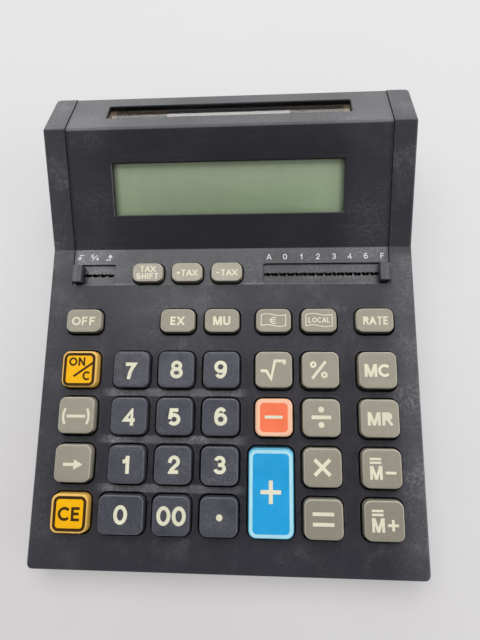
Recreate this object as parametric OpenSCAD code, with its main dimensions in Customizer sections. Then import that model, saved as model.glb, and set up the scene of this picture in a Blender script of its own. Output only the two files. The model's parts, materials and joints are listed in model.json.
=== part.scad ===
// Desktop solar calculator with a sloping keyboard, a hood that carries the display and the
// solar cell, thirty-six sprung keys and two slide switches. Millimetres, +Z up, +Y to the rear.
// The origin is the middle of the footprint, on the table.

/* [Case] */
// Width of the case
body_w = 150; // [136:1:164]
// Keyboard surface along its slope, from the front edge to the fold under the display
keyboard_len = 126.3; // [116:0.1:138]
// Slope of the keyboard, in degrees
keyboard_slope = 5; // [4:0.5:7]
// Height of the front edge above the table
front_h = 12; // [12:0.5:18]
// Thickness of the moulded walls and of the keyboard deck
wall = 2; // [1.8:0.1:2.4]
// Thickness of the base
base_t = 2; // [1.6:0.1:2.4]
// Radius of the upright corners
corner_r = 2.2; // [1:0.1:4]
// Radius of the keyboard's long side edges
edge_r = 0.9; // [0.8:0.1:1.2]
// Radius of the hood's side edges
hood_edge_r = 0.6; // [0.4:0.1:0.7]
// Height of the base tray's side walls
tray_h = 5; // [4.4:0.1:5.6]

/* [Hood] */
// Display panel along its slope
panel_len = 48.8; // [46:0.1:60]
// Slope of the display panel, in degrees
panel_slope = 28.2; // [24:0.1:34]
// Top face along its slope
top_len = 22.9; // [21:0.1:30]
// Fall of the top face towards the rear, in degrees
top_slope = 20.9; // [15:0.1:24]
// Width of each cheek beside the cover
cheek_w = 9.1; // [8.4:0.1:9.2]
// Thickness of the cover
cover_t = 2; // [1.8:0.1:2.4]
// How far the cover lies below the cheeks
cover_drop = 0.2; // [0.1:0.05:0.4]
// Length of the slider strip in front of the fold
strip_len = 15.7; // [15:0.1:16.2]
// Cover left at each side of the display opening
display_side = 18.4; // [17:0.1:26]
// Height of the display opening
display_h = 20.8; // [16:0.1:23]
// Middle of the display opening above the fold
display_p = 24.5; // [23:0.1:26]
// Cover left at each side of the solar opening
solar_side = 15.5; // [11:0.1:26]
// Height of the solar opening
solar_h = 8.7; // [6:0.1:10]
// Middle of the solar opening behind the hood's ridge
solar_p = 12.1; // [11:0.1:13]
// Thickness of the clear panes
pane_t = 1; // [0.8:0.1:1.2]

/* [Keys] */
// Space between the keys of a block
col_space = 3.4; // [3.2:0.1:3.8]
// Space between key rows
row_space = 3.6; // [3.4:0.1:4]
// Extra space between the function column and the digits
gap_left = 2.6; // [2.4:0.1:3]
// Extra space between the digits and the operators
gap_middle = 2.7; // [2.4:0.1:3]
// Extra space between the operators and the memory column
gap_right = 3.9; // [3:0.1:4.2]
// Front edge of the case to the front key row
front_margin = 13.6; // [13.3:0.1:14.7]
// Space between the square keys and the low keys
low_gap = 7.4; // [7:0.1:8]
// Space between the low keys and the slider strip
strip_gap = 10.4; // [10.2:0.1:11]
// Height of a square key above the deck
key_h = 3.5; // [3:0.1:4.5]
// How much narrower a low key is than a square key
low_less = 0.5; // [0.2:0.1:1.5]
// Depth of a low key
low_d = 10; // [9:0.1:10.2]
// Height of a low key above the deck
low_h = 2.6; // [2:0.1:3]
// How much narrower a tax key is than a square key
tax_less = 2.2; // [1.6:0.1:3.4]
// Depth of a tax key
tax_d = 8.4; // [8:0.1:8.6]
// Height of a tax key above the deck
tax_h = 2.4; // [2:0.1:3]
// Space between the tax keys
tax_space = 4; // [3.6:0.1:4.4]
// Middle of the first tax key, to the right of the second key column
tax_in = 5; // [4.6:0.1:5.4]
// Extra width of the zero key
zero_extra = 3.2; // [2:0.1:3.4]
// Extra width of the plus key
plus_extra = 2.6; // [2:0.1:3.4]
// Shift of these two keys to the left of their column
wide_shift = 1.15; // [0.9:0.05:1.3]
// Corner radius of the keys
key_r = 2.8; // [1.5:0.1:3.2]
// Draw-in of a key's sides between the deck and its top
key_draft = 0.9; // [0.5:0.1:1.2]
// Travel of a key
key_travel = 1.5; // [1:0.1:1.6]

/* [Slide switches] */
// Outer stop of each switch from the edge of the cover
stop_in = 2.8; // [2.6:0.1:3.4]
// Inner stop of the rounding switch to the tax keys
rounding_clear = 11.3; // [10.8:0.1:13]
// Inner stop of the decimal switch to the tax keys
decimal_clear = 10.9; // [10.6:0.1:14]
// Depth of the slots along the keyboard
slot_d = 8.4; // [8:0.1:8.6]
// Recess of the slots
slot_recess = 1; // [0.8:0.1:1.1]
// Width of the slit that the switch passes through
slit = 1.1; // [0.9:0.1:1.4]
// Width of a knob
knob_w = 3.8; // [3:0.1:4]
// Depth of a knob along the keyboard
knob_d = 7.4; // [7:0.1:7.6]
// Height of a knob above the deck
knob_h = 2.4; // [1.5:0.1:2.5]

/* [Inside] */
// Side edges of the circuit board in from the case
board_in = 10.5; // [10.3:0.1:11]
// Thickness of the circuit board
board_t = 1.4; // [1:0.1:1.6]
// Thickness of the rubber sheet under the keys
sheet_t = 0.8; // [0.6:0.1:1]
// Radius of the back-up cell
cell_r = 10; // [8:0.5:10]
// Thickness of the back-up cell
cell_t = 2.5; // [1.6:0.1:3.2]
// Width of the battery door
door_w = 27; // [26:0.5:34]
// Height of the rubber feet below the case
foot_h = 1.5; // [1:0.1:2]
// Radius of the rubber feet
foot_r = 6; // [4:0.5:6.5]

/* [Clearances] */
// Gap between a key and its hole
key_gap = 0.3; // [0.2:0.05:0.4]
// Gap between parts that slide or seat on each other
fit = 0.2; // [0.1:0.05:0.25]
// Gap between parts that are fixed together
seat = 0.1; // [0.05:0.05:0.15]

/* [Hidden] */
$fn = 48;
far = 400;

// Rounding positions and decimal positions
rounding_stops = 3;
decimal_stops = 8;

// Side profile: front edge, fold, ridge and rear edge, as depth and height
body_d = keyboard_len * cos(keyboard_slope) + panel_len * cos(panel_slope) + top_len * cos(top_slope);
y_front = -body_d / 2;
y_fold = y_front + keyboard_len * cos(keyboard_slope);
z_fold = front_h + keyboard_len * sin(keyboard_slope);
y_ridge = y_fold + panel_len * cos(panel_slope);
z_ridge = z_fold + panel_len * sin(panel_slope);
y_back = body_d / 2;
z_floor = foot_h + base_t;
z_part = foot_h + tray_h;
s_strip = keyboard_len - strip_len;
cover_w = body_w - 2 * cheek_w;
display_w = cover_w - 2 * display_side;
solar_w = cover_w - 2 * solar_side;

// Key columns and rows: the square keys take what the spaces leave of the cover's width and the deck
key_w = (cover_w - 6 * col_space - gap_left - gap_middle - gap_right) / 7;
key_d = (s_strip - front_margin - 3 * row_space - low_gap - low_d - strip_gap) / 4;
col_pitch = key_w + col_space;
row_pitch = key_d + row_space;
col_gaps = [0, gap_left, gap_left, gap_left, gap_left + gap_middle, gap_left + gap_middle,
            gap_left + gap_middle + gap_right];
col_span = 6 * col_pitch + gap_left + gap_middle + gap_right;
function col(i) = i * col_pitch + col_gaps[i] - col_span / 2;
row_first = front_margin + key_d / 2;
function row(i) = row_first + i * row_pitch;
row_low = row(3) + key_d / 2 + low_gap + low_d / 2;
low_w = key_w - low_less;
tax_w = key_w - tax_less;
tax_pitch = tax_w + tax_space;
tax_x = col(1) + tax_in;
tax_start = tax_x - tax_w / 2;
tax_stop = tax_x + 2 * tax_pitch + tax_w / 2;

// Slide switches: middle of the slots along the keyboard, and the stops
strip_rim = 0.6;
slot_r = 1.5;
slot_play = 0.5;
s_slot = s_strip + strip_rim + slot_d / 2;
rounding_x = stop_in - cover_w / 2;
rounding_step = (tax_start - rounding_clear - rounding_x) / (rounding_stops - 1);
decimal_x = cover_w / 2 - stop_in;
decimal_step = (decimal_x - tax_stop - decimal_clear) / (decimal_stops - 1);

// Depths below the keyboard surface
flange_t = 0.8;
flange_lip = 0.5;
deck_under = wall;
strip_under = cover_drop + cover_t;
stem_r = 2;
stem_under = wall + cover_drop + fit + flange_t + 0.5;
dome_top = stem_under + fit;
dome_h = key_travel + 0.5;
dome_r = 3.2;
sheet_top = dome_top + dome_h;
board_top = sheet_top + sheet_t;
board_under = board_top + board_t;
board_w = body_w - 2 * board_in;
board_s0 = 7.8;
board_rear = 8;
board_s1 = keyboard_len + board_rear;
sheet_s0 = front_margin - 0.5;
sheet_s1 = row_low + low_d / 2 + 2;
sheet_edge = 5;
sheet_w = col_span + 2 * sheet_edge;
tongue_in = 4;
tongue_s1 = keyboard_len - tongue_in;

// Screws and bosses
boss_r = 3;
screw_r = 1.25;
screw_len = 5.4;
head_r = 2.4;
head_t = 1.5;
head_deep = 2.6;
cross_len = 3;
cross_w = 0.6;
cross_deep = 0.8;
screw_tip = foot_h + head_deep + screw_len;
boss_in = 6.7;
case_boss_x = body_w / 2 - boss_in;
boss_front = 6.3;
boss_middle = 20.3;
boss_rear = 9;
case_boss_y = [y_front + boss_front, y_fold - boss_middle, y_back - boss_rear];
inner_boss_r = 2;
inner_screw_r = 0.9;
inner_screw_len = 3.4;
inner_head_r = 1.8;
inner_head_t = 0.9;
row_between = row(2) + row_pitch / 2;
s_behind = row_low + low_d / 2 + strip_gap / 2;
x_left = (col(0) + col(1)) / 2;
x_middle = (col(3) + col(4)) / 2;
x_right = (col(5) + col(6)) / 2;
board_bosses = concat([for (x = [x_left, x_middle, x_right]) for (s = [row_between, s_behind]) [x, s]],
                      [for (m = [-1, 1]) [m * board_w / 4.3, front_margin - 3.4]]);

// Cover supports
pocket_under = strip_under + seat;
ledge_start = 6;
ridge_clear = 2.2;
ledge_w = 2.5;
ledge_t = 1.4;
rib_w = 2.4;
tab_w = 4.5;
tab_len = 2.4;
tab_t = 1.1;
tab_out = 4.3;
tab_x = [tax_start - tab_out, tax_stop + tab_out];

// Display and solar stack, as depths below the cover's outer surface plane
pane_lip = 1.5;
pane_top = cover_drop + cover_t - pane_t + seat * 2;
pane_under = pane_top + pane_t;
glass_top = pane_under + seat;
lcd_side = 2.5;
lcd_edge = 3.7;
lcd_w = display_w + 2 * lcd_side;
lcd_h = display_h + 2 * lcd_edge;
lcd_t = 2.2;
holder_rim = 2;
holder_side = 6;
holder_shelf = 5;
holder_floor = 1.1;
holder_under = glass_top + lcd_t + seat + holder_floor;
holder_top = pane_under;
ear_x = lcd_w / 2 + 6.5;
ear_w = 9;
ear_d = 8;
ear_t = 1.2;
cell_strip_w = solar_w + 3.4;
cell_strip_h = solar_h + 3.6;
cell_strip_t = 1.2;
ribbon_w = 0.6 * lcd_w;
ribbon_t = 0.3;
ribbon_land = 4;

// Leads from the solar cell and from the battery bay to the board
lead_t = 0.8;
lead_cell_x = 20;
lead_bay_x = 5;
lead_deep = 15;
lead_turn = 3;
lead_land = 5;

// Battery bay, open to the rear through the door
bay_w = 2 * cell_r + 1.2;
bay_y = y_back - wall - cell_r - 4;
bay_wall = 1.3;
pad_t = 3.6;
door_t = 1.6;
door_y0 = bay_y - bay_w / 2 - 2.2;
tongue = 0.8;
tongue_back = 1.5;
tongue_t = 0.6;
bay_top = foot_h + door_t + 2 * fit + cell_t + 1.2;
grip_count = 4;
grip_first = 5;
grip_pitch = 2.4;
grip_w = 1.2;
grip_deep = 0.5;
contact_w = 6;

// Wipers under the slide switches
shoe_w = 5;
shoe_d = 6.6;
shoe_t = 0.9;
shoe_top = strip_under + fit;
wiper_t = 0.3;
finger_w = 1.2;
wiper_rear = 2.4;
wiper_touch = 1.6;
wiper_tip = 2.8;
wiper_lift = 0.6;

// Feet
foot_in_x = 17;
foot_in_y = 13;
foot_sunk = 0.6;

// Colours
case_grey = "#3a3a40";
base_grey = "#2c2c30";
cover_grey = "#35353b";
digit_grey = "#5a5a60";
warm_grey = "#9b988b";
yellow = "#f3b10f";
red = "#f9855f";
blue = "#2fa0d5";

// Main key rows from the front; an empty name is a place that a taller or no key takes
MAIN = [
  ["key_ce", "key_0", "key_00", "key_point", "", "key_equals", "key_m_plus"],
  ["key_digit_shift", "key_1", "key_2", "key_3", "key_plus", "key_times", "key_m_minus"],
  ["key_sign", "key_4", "key_5", "key_6", "key_minus", "key_divide", "key_mr"],
  ["key_on_c", "key_7", "key_8", "key_9", "key_root", "key_percent", "key_mc"]
];
LOW = ["key_off", "", "key_ex", "key_mu", "key_currency", "key_local", "key_rate"];
TAX = ["key_tax_shift", "key_tax_plus", "key_tax_minus"];
function listed(list, v) = len([for (e = list) if (e == v) 1]) > 0;
function key_colour(name, c) =
  listed(["key_on_c", "key_ce"], name) ? yellow :
  name == "key_minus" ? red :
  name == "key_plus" ? blue :
  c >= 1 && c <= 3 ? digit_grey : warm_grey;
function extra_w(name) = name == "key_0" ? zero_extra : name == "key_plus" ? plus_extra : 0;
function extra_d(name) = name == "key_plus" ? row_pitch : 0;

// Each key: name, middle across, middle along the keyboard, width, depth, height, colour, deck underside
KEYS = concat(
  [for (r = [0:3]) for (c = [0:6]) let (n = MAIN[r][c]) if (n != "")
    [n, col(c) - (extra_w(n) > 0 ? wide_shift : 0), row(r) - extra_d(n) / 2,
     key_w + extra_w(n), key_d + extra_d(n), key_h, key_colour(n, c), deck_under]],
  [for (c = [0:6]) if (LOW[c] != "") [LOW[c], col(c), row_low, low_w, low_d, low_h, warm_grey, deck_under]],
  [for (i = [0:2]) [TAX[i], tax_x + i * tax_pitch, s_slot, tax_w, tax_d, tax_h, warm_grey, strip_under]]
);

// Frames on the three sloping surfaces: across, along the slope, and out of the surface
module on_keyboard(x = 0, s = 0, w = 0) {
  translate([0, y_front, front_h]) rotate([keyboard_slope, 0, 0]) translate([x, s, w]) children();
}
module on_panel(x = 0, p = 0, w = 0) {
  translate([0, y_fold, z_fold]) rotate([panel_slope, 0, 0]) translate([x, p, w]) children();
}
module on_top(x = 0, p = 0, w = 0) {
  translate([0, y_ridge, z_ridge]) rotate([-top_slope, 0, 0]) translate([x, p, w]) children();
}

// Depth and height of points given on the keyboard or the panel
function keyboard_point(s, w) = [y_front + s * cos(keyboard_slope) - w * sin(keyboard_slope),
                                 front_h + s * sin(keyboard_slope) + w * cos(keyboard_slope)];
function panel_point(p, w) = [y_fold + p * cos(panel_slope) - w * sin(panel_slope),
                              z_fold + p * sin(panel_slope) + w * cos(panel_slope)];
function top_point(p, w) = [y_ridge + p * cos(top_slope) + w * sin(top_slope),
                            z_ridge - p * sin(top_slope) + w * cos(top_slope)];

module rounded_rect(w, d, r) {
  square([w - 2 * r, d], center = true);
  square([w, d - 2 * r], center = true);
  for (mx = [-1, 1]) for (my = [-1, 1]) translate([mx * (w / 2 - r), my * (d / 2 - r)]) circle(r);
}

// Box given by its width about X = 0 and its spans along and out of a surface
module block(w, p0, p1, w0, w1) {
  translate([-w / 2, p0, w0]) cube([w, p1 - p0, w1 - w0]);
}

// Bent strip through points given as depth and height, w wide about x
module bent_strip(points, t, x, w) {
  translate([x - w / 2, 0, 0]) rotate([90, 0, 90]) linear_extrude(w) {
    for (i = [0:len(points) - 2]) {
      run = points[i + 1] - points[i];
      translate(points[i]) rotate(atan2(run[1], run[0])) translate([0, -t / 2]) square([norm(run), t]);
    }
    for (i = [1:1:len(points) - 2]) translate(points[i]) circle(d = t);
  }
}

// Everything under one sloping surface, with its long side edges rounded to side_r
module slope_form(d, side_r) {
  w = body_w - 2 * d;
  r = max(side_r - d, side_r / 6);
  translate([0, far, -d]) rotate([90, 0, 0]) linear_extrude(2 * far) {
    translate([-w / 2, -far]) square([w, far - r]);
    translate([-w / 2 + r, -far]) square([w - 2 * r, far]);
    for (m = [-1, 1]) translate([m * (w / 2 - r), -r]) circle(r);
  }
}
module surface_form(d) {
  on_keyboard() slope_form(d, edge_r);
  intersection() {
    on_panel() slope_form(d, hood_edge_r);
    on_top() slope_form(d, hood_edge_r);
  }
}
module plan_form(d, z0, z1) {
  translate([0, 0, z0]) linear_extrude(z1 - z0)
    rounded_rect(body_w - 2 * d, body_d - 2 * d, max(corner_r - d, 0.3));
}
module case_form(d, z0) {
  intersection() {
    plan_form(d, z0, far);
    surface_form(d);
  }
}

// Place of the cover, w wide, behind the strip's front edge
module cover_place(w, s) {
  on_keyboard() block(w, s, far, -far, far);
}

module case_boss_places() {
  for (m = [-1, 1]) for (y = case_boss_y) translate([m * case_boss_x, y, 0]) children();
}

module key_hole(k) {
  on_keyboard(k[1], k[2], -far / 2) linear_extrude(far)
    rounded_rect(k[3] + 2 * key_gap, k[4] + 2 * key_gap, key_r + key_gap);
}

module upper_case() {
  color(case_grey) {
    difference() {
      union() {
        difference() {
          case_form(0, z_part);
          case_form(wall, z_part - 1);
        }
        intersection() {
          case_boss_places() translate([0, 0, z_part]) cylinder(r = boss_r, h = far);
          case_form(wall / 2, z_part);
        }
        for (b = board_bosses) on_keyboard(b[0], b[1], -board_top + seat)
          cylinder(r = inner_boss_r, h = board_top - seat - wall / 2);
      }
      difference() {
        cover_place(cover_w + 2 * seat, s_strip - seat);
        surface_form(pocket_under);
      }
      case_boss_places() translate([0, 0, z_part - 1])
        cylinder(r = screw_r + seat, h = screw_tip + fit - z_part + 1);
      for (b = board_bosses) on_keyboard(b[0], b[1], -board_top - 1)
        cylinder(r = inner_screw_r + seat, h = inner_screw_len + 0.2);
      for (k = KEYS) if (k[7] == deck_under) key_hole(k);
    }
    cover_ledges();
  }
}

// Ledges under the cover's side edges, carried by ribs under the cheeks
module cover_ledges() {
  for (m = [-1, 1]) {
    on_panel() side_ledge(m, ledge_start, panel_len - ridge_clear);
    on_top() side_ledge(m, ridge_clear, top_len - wall / 3);
  }
}
module side_ledge(m, p0, p1) {
  translate([m * (cover_w - ledge_w + rib_w) / 2, 0, 0])
    block(ledge_w + rib_w, p0, p1, -pocket_under - ledge_t, -pocket_under);
  translate([m * (cover_w + seat + rib_w) / 2, 0, 0])
    block(rib_w - seat, p0, p1, -pocket_under - ledge_t, -wall / 2);
}

module lower_case() {
  color(base_grey) difference() {
    union() {
      difference() {
        case_form(0, foot_h);
        case_form(wall, z_floor);
        translate([-far / 2, -far / 2, z_part - seat]) cube(far);
      }
      difference() {
        plan_form(wall + seat, z_floor - 0.5, z_part + 1.2);
        plan_form(wall + seat + 1, z_floor - 1, z_part + 2);
        case_boss_places() translate([0, 0, z_part - seat]) cylinder(r = boss_r + fit, h = far);
      }
      case_boss_places() translate([0, 0, foot_h]) cylinder(r = boss_r, h = tray_h - seat);
      battery_bay();
    }
    case_boss_places() {
      translate([0, 0, -1]) cylinder(r = screw_r + 0.25, h = far);
      translate([0, 0, -1]) cylinder(r = head_r + 0.3, h = 1 + foot_h + head_deep);
    }
    foot_places() translate([0, 0, -1]) cylinder(r = foot_r + seat, h = 1 + foot_h + foot_sunk);
    door_space();
  }
}

// Pad and roofed walls around the back-up cell
module battery_bay() {
  out_w = bay_w + 2 * bay_wall;
  pad_w = door_w + 2 * tongue + 2 * bay_wall + 2;
  translate([0, 0, foot_h]) block(pad_w, door_y0 - 2, y_back - wall / 2, 0, pad_t);
  difference() {
    translate([0, bay_y, foot_h]) block(out_w, -out_w / 2, out_w / 2, 0, bay_top - foot_h + bay_wall);
    translate([0, bay_y, 0]) block(bay_w, -bay_w / 2, bay_w / 2, 0, bay_top);
  }
}

// Room for the door, its tongues and the cell above it
module door_space() {
  door_mid = foot_h + door_t / 2;
  translate([0, 0, -1]) block(door_w + 2 * fit, door_y0 - fit, far, 0, 1 + foot_h + door_t + fit);
  block(door_w + 2 * tongue + 2 * fit, door_y0 - fit, far, door_mid - tongue_t / 2 - fit,
        door_mid + tongue_t / 2 + fit);
  block(door_w + 2 * fit, y_back - wall - seat, far, 0, z_part + seat);
  translate([0, bay_y, 0]) block(bay_w, -bay_w / 2, bay_w / 2, 0, bay_top);
}

module hood_cover() {
  color(cover_grey) difference() {
    union() {
      difference() {
        intersection() {
          plan_form(0, z_part, far);
          surface_form(cover_drop);
          cover_place(cover_w, s_strip);
        }
        surface_form(strip_under);
      }
      for (x = tab_x) on_keyboard(x) block(tab_w, s_strip - tab_len, s_strip + tab_len,
                                           -strip_under - tab_t, -deck_under - seat);
      for (m = [-1, 1]) on_panel(m * ear_x, display_p, -holder_under + ear_t + seat)
        cylinder(r = inner_boss_r, h = holder_under - ear_t - seat - strip_under + 0.5);
    }
    for (k = KEYS) if (k[7] == strip_under) key_hole(k);
    slider_slot(rounding_x, rounding_x + (rounding_stops - 1) * rounding_step);
    slider_slot(decimal_x - (decimal_stops - 1) * decimal_step, decimal_x);
    on_panel(0, display_p) {
      block(display_w, -display_h / 2, display_h / 2, -far / 8, 1);
      block(display_w + 2 * pane_lip + 2 * seat, -display_h / 2 - pane_lip - seat,
            display_h / 2 + pane_lip + seat, -holder_top - 2, -pane_top + seat);
    }
    on_top(0, solar_p) {
      block(solar_w, -solar_h / 2, solar_h / 2, -far / 8, 1);
      block(solar_w + 2 * pane_lip + 2 * seat, -solar_h / 2 - pane_lip - seat,
            solar_h / 2 + pane_lip + seat, -holder_top - 2, -pane_top + seat);
    }
    for (m = [-1, 1]) on_panel(m * ear_x, display_p, -holder_under)
      cylinder(r = inner_screw_r + seat, h = inner_screw_len + ear_t - 0.4);
  }
}

// Recess with round ends and the slit through its floor, for stops from x0 to x1
module slider_slot(x0, x1) {
  slot_end = knob_w / 2 + slot_play;
  recess_w = x1 - x0 + 2 * slot_end;
  on_keyboard((x0 + x1) / 2, s_slot) {
    translate([0, 0, -cover_drop - slot_recess]) linear_extrude(far)
      rounded_rect(recess_w, slot_d, slot_r);
    block(x1 - x0 + knob_w + 2 * fit, -slit / 2, slit / 2, -strip_under - 1, 1);
  }
}

module display_window() {
  color("#c8d0c8", 0.4) on_panel(0, display_p)
    block(display_w + 2 * pane_lip, -display_h / 2 - pane_lip, display_h / 2 + pane_lip,
          -pane_under, -pane_top);
}

module solar_window() {
  color("#b0a0a8", 0.4) on_top(0, solar_p)
    block(solar_w + 2 * pane_lip, -solar_h / 2 - pane_lip, solar_h / 2 + pane_lip,
          -pane_under, -pane_top);
}

module lcd_panel() {
  color("#818f75") on_panel(0, display_p)
    block(lcd_w, -lcd_h / 2, lcd_h / 2, -glass_top - lcd_t, -glass_top);
}

module lcd_holder() {
  out_w = lcd_w + 2 * holder_rim;
  out_h = lcd_h + 2 * holder_rim;
  color("#4a4a4c") difference() {
    union() {
      on_panel(0, display_p) block(out_w, -out_h / 2, out_h / 2, -holder_under, -holder_top - seat);
      for (m = [-1, 1]) on_panel(m * ear_x, display_p)
        block(ear_w, -ear_d / 2, ear_d / 2, -holder_under, -holder_under + ear_t);
    }
    on_panel(0, display_p) {
      block(lcd_w + 2 * seat, -lcd_h / 2 - seat, lcd_h / 2 + seat, -glass_top - lcd_t - seat, 1);
      block(lcd_w - 2 * holder_side, -lcd_h / 2 + holder_shelf, lcd_h / 2 - holder_shelf, -far / 8, 1);
      block(ribbon_w + 2, -far / 8, -lcd_h / 2 + holder_shelf + 0.1, -far / 8, 1);
    }
    for (m = [-1, 1]) on_panel(m * ear_x, display_p, -holder_under - 1)
      cylinder(r = inner_screw_r + fit, h = ear_t + 2);
  }
}

module lcd_ribbon() {
  lcd_front = display_p - lcd_h / 2;
  path = [panel_point(lcd_front + ribbon_land, -glass_top - lcd_t - seat - ribbon_t / 2),
          panel_point(lcd_front - ribbon_land, -glass_top - lcd_t - seat - ribbon_t / 2),
          keyboard_point(board_s1 - ribbon_land / 2, -board_top + seat + ribbon_t / 2),
          keyboard_point(board_s1 - 1.5 * ribbon_land, -board_top + seat + ribbon_t / 2)];
  color("#c09a50") bent_strip(path, ribbon_t, 0, ribbon_w);
}

module solar_cell() {
  color("#2a2430") on_top(0, solar_p)
    block(cell_strip_w, -cell_strip_h / 2, cell_strip_h / 2, -glass_top - cell_strip_t, -glass_top);
}

module main_board() {
  color("#3d6b45") difference() {
    on_keyboard() block(board_w, board_s0, board_s1, -board_under, -board_top);
    for (b = board_bosses) on_keyboard(b[0], b[1], -board_under - 1)
      cylinder(r = inner_screw_r + fit, h = board_t + 2);
  }
}

module logic_chip() {
  chip_w = 18;
  chip_t = 2.2;
  leg_w = 22;
  leg_t = 0.3;
  color("#202022") on_keyboard(col(2), row(2)) {
    block(chip_w, -chip_w / 2, chip_w / 2, -board_under - seat - chip_t, -board_under - seat);
    block(leg_w, -leg_w / 2, leg_w / 2, -board_under - seat - leg_t, -board_under - seat);
  }
}

module filter_capacitor() {
  can_r = 2.5;
  can_h = 5;
  rim_t = 0.6;
  color("#3050a0") on_keyboard(col(5), row_low, -board_under - seat - can_h) {
    cylinder(r = can_r, h = can_h);
    translate([0, 0, can_h - rim_t]) cylinder(r = can_r + rim_t / 2, h = rim_t);
  }
}

module key_membrane() {
  color("#8a8a86") difference() {
    union() {
      on_keyboard() block(sheet_w, sheet_s0, sheet_s1, -board_top + seat, -sheet_top);
      on_keyboard(tax_x + tax_pitch)
        block(tax_stop - tax_start - 2, sheet_s1 - 1, tongue_s1, -board_top + seat, -sheet_top);
      for (k = KEYS) on_keyboard(k[1], k[2], -sheet_top - 0.1)
        cylinder(r1 = dome_r, r2 = stem_r, h = dome_h + 0.1);
    }
    for (k = KEYS) on_keyboard(k[1], k[2], -board_top - 1) cylinder(r = stem_r, h = sheet_t + 2.2);
    for (b = board_bosses) on_keyboard(b[0], b[1], -board_top - 1)
      cylinder(r = inner_boss_r + fit, h = sheet_t + 2);
  }
}

module power_leads() {
  board_low = -board_under - seat - lead_t / 2;
  cell_foot = top_point(solar_p, -glass_top - cell_strip_t - seat);
  roof = bay_top + bay_wall + seat + lead_t / 2;
  turn = keyboard_point(board_s1 - lead_turn, board_low);
  land = keyboard_point(board_s1 - lead_turn - lead_land, board_low);
  for (m = [-1, 1]) {
    color("#b03030")
      bent_strip([cell_foot, [cell_foot[0], lead_deep], turn, land], lead_t, m * lead_cell_x, lead_t);
    color("#303030")
      bent_strip([[bay_y, roof], [bay_y - bay_w / 2 - lead_land, roof], turn, land],
                 lead_t, m * lead_bay_x, lead_t);
  }
}

module battery_cell() {
  color("#c4c6c8") translate([0, bay_y, foot_h + door_t + 2 * fit]) cylinder(r = cell_r, h = cell_t);
}

module battery_contacts() {
  leaf = 0.4;
  color("#c8b060") {
    translate([0, bay_y, bay_top - seat - leaf]) block(contact_w, -cell_r, cell_r, 0, leaf);
    translate([bay_w / 2 - seat - leaf, bay_y - contact_w / 2, foot_h + door_t + 2 * fit])
      cube([leaf, contact_w, cell_t]);
  }
}

module battery_door() {
  door_mid = foot_h + door_t / 2;
  color(base_grey) difference() {
    union() {
      block(door_w, door_y0, y_back, foot_h, foot_h + door_t);
      block(door_w + 2 * tongue, door_y0, y_back - wall - tongue_back, door_mid - tongue_t / 2,
            door_mid + tongue_t / 2);
      block(door_w, y_back - wall + fit, y_back, foot_h, z_part - fit);
    }
    for (i = [0:grip_count - 1]) translate([0, y_back - wall - grip_first - grip_pitch * i, foot_h - 1])
      block(door_w * 0.6, -grip_w / 2, grip_w / 2, 0, 1 + grip_deep);
  }
}

// Switch at x: knob in the slot, neck in the slit and shoe under the cover
module slider(x) {
  neck_w = knob_w - 0.4;
  neck_d = slit - 2 * fit;
  knob_under = cover_drop + slot_recess - fit;
  on_keyboard(x, s_slot) {
    block(knob_w, -knob_d / 2, knob_d / 2, -knob_under, knob_h);
    block(neck_w, -neck_d / 2, neck_d / 2, -shoe_top - 0.1, -knob_under + 0.1);
    block(shoe_w, -shoe_d / 2, shoe_d / 2, -shoe_top - shoe_t, -shoe_top);
  }
}

// Leaf spring from the shoe of the switch at x down to the board
module wiper(x) {
  plate_t = wiper_t + 0.1;
  plate = -shoe_top - shoe_t - seat - plate_t / 2;
  contact = -board_top + fit + wiper_t / 2;
  path = [keyboard_point(s_slot, plate), keyboard_point(s_slot + wiper_rear, plate),
          keyboard_point(s_slot - wiper_touch, contact),
          keyboard_point(s_slot - wiper_tip, contact + wiper_lift)];
  for (m = [-1, 1]) bent_strip(path, wiper_t, x + m * finger_w, finger_w);
  on_keyboard(x, s_slot, plate)
    block(3 * finger_w + fit, -wiper_tip, wiper_rear / 2, -plate_t / 2, plate_t / 2);
}

module rounding_slider() {
  color(cover_grey) slider(rounding_x);
}
module rounding_wiper() {
  color("#c8b060") wiper(rounding_x);
}
module decimal_slider() {
  color(cover_grey) slider(decimal_x);
}
module decimal_wiper() {
  color("#c8b060") wiper(decimal_x);
}

module case_screws() {
  seat_z = foot_h + head_deep - seat;
  color("#b8b8b8") case_boss_places() {
    difference() {
      translate([0, 0, seat_z - head_t]) cylinder(r = head_r, h = head_t);
      for (a = [0, 90]) rotate(a) translate([-cross_len / 2, -cross_w / 2, seat_z - head_t - 1])
        cube([cross_len, cross_w, cross_deep + 1]);
    }
    translate([0, 0, seat_z - 0.1]) cylinder(r = screw_r, h = screw_len);
  }
}

// Screw with its head below a plate and its shank upwards
module inner_screw() {
  translate([0, 0, -inner_head_t]) cylinder(r = inner_head_r, h = inner_head_t);
  translate([0, 0, -0.1]) cylinder(r = inner_screw_r, h = inner_screw_len);
}
module inner_screws() {
  color("#b8b8b8") {
    for (b = board_bosses) on_keyboard(b[0], b[1], -board_under - seat) inner_screw();
    for (m = [-1, 1]) on_panel(m * ear_x, display_p, -holder_under - seat) inner_screw();
  }
}

module foot_places() {
  for (m = [-1, 1]) for (y = [y_front + foot_in_y, y_back - foot_in_y])
    translate([m * (body_w / 2 - foot_in_x), y, 0]) children();
}
module rubber_feet() {
  color("#28282a") foot_places() cylinder(r = foot_r, h = foot_h + foot_sunk - seat / 2);
}

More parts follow.
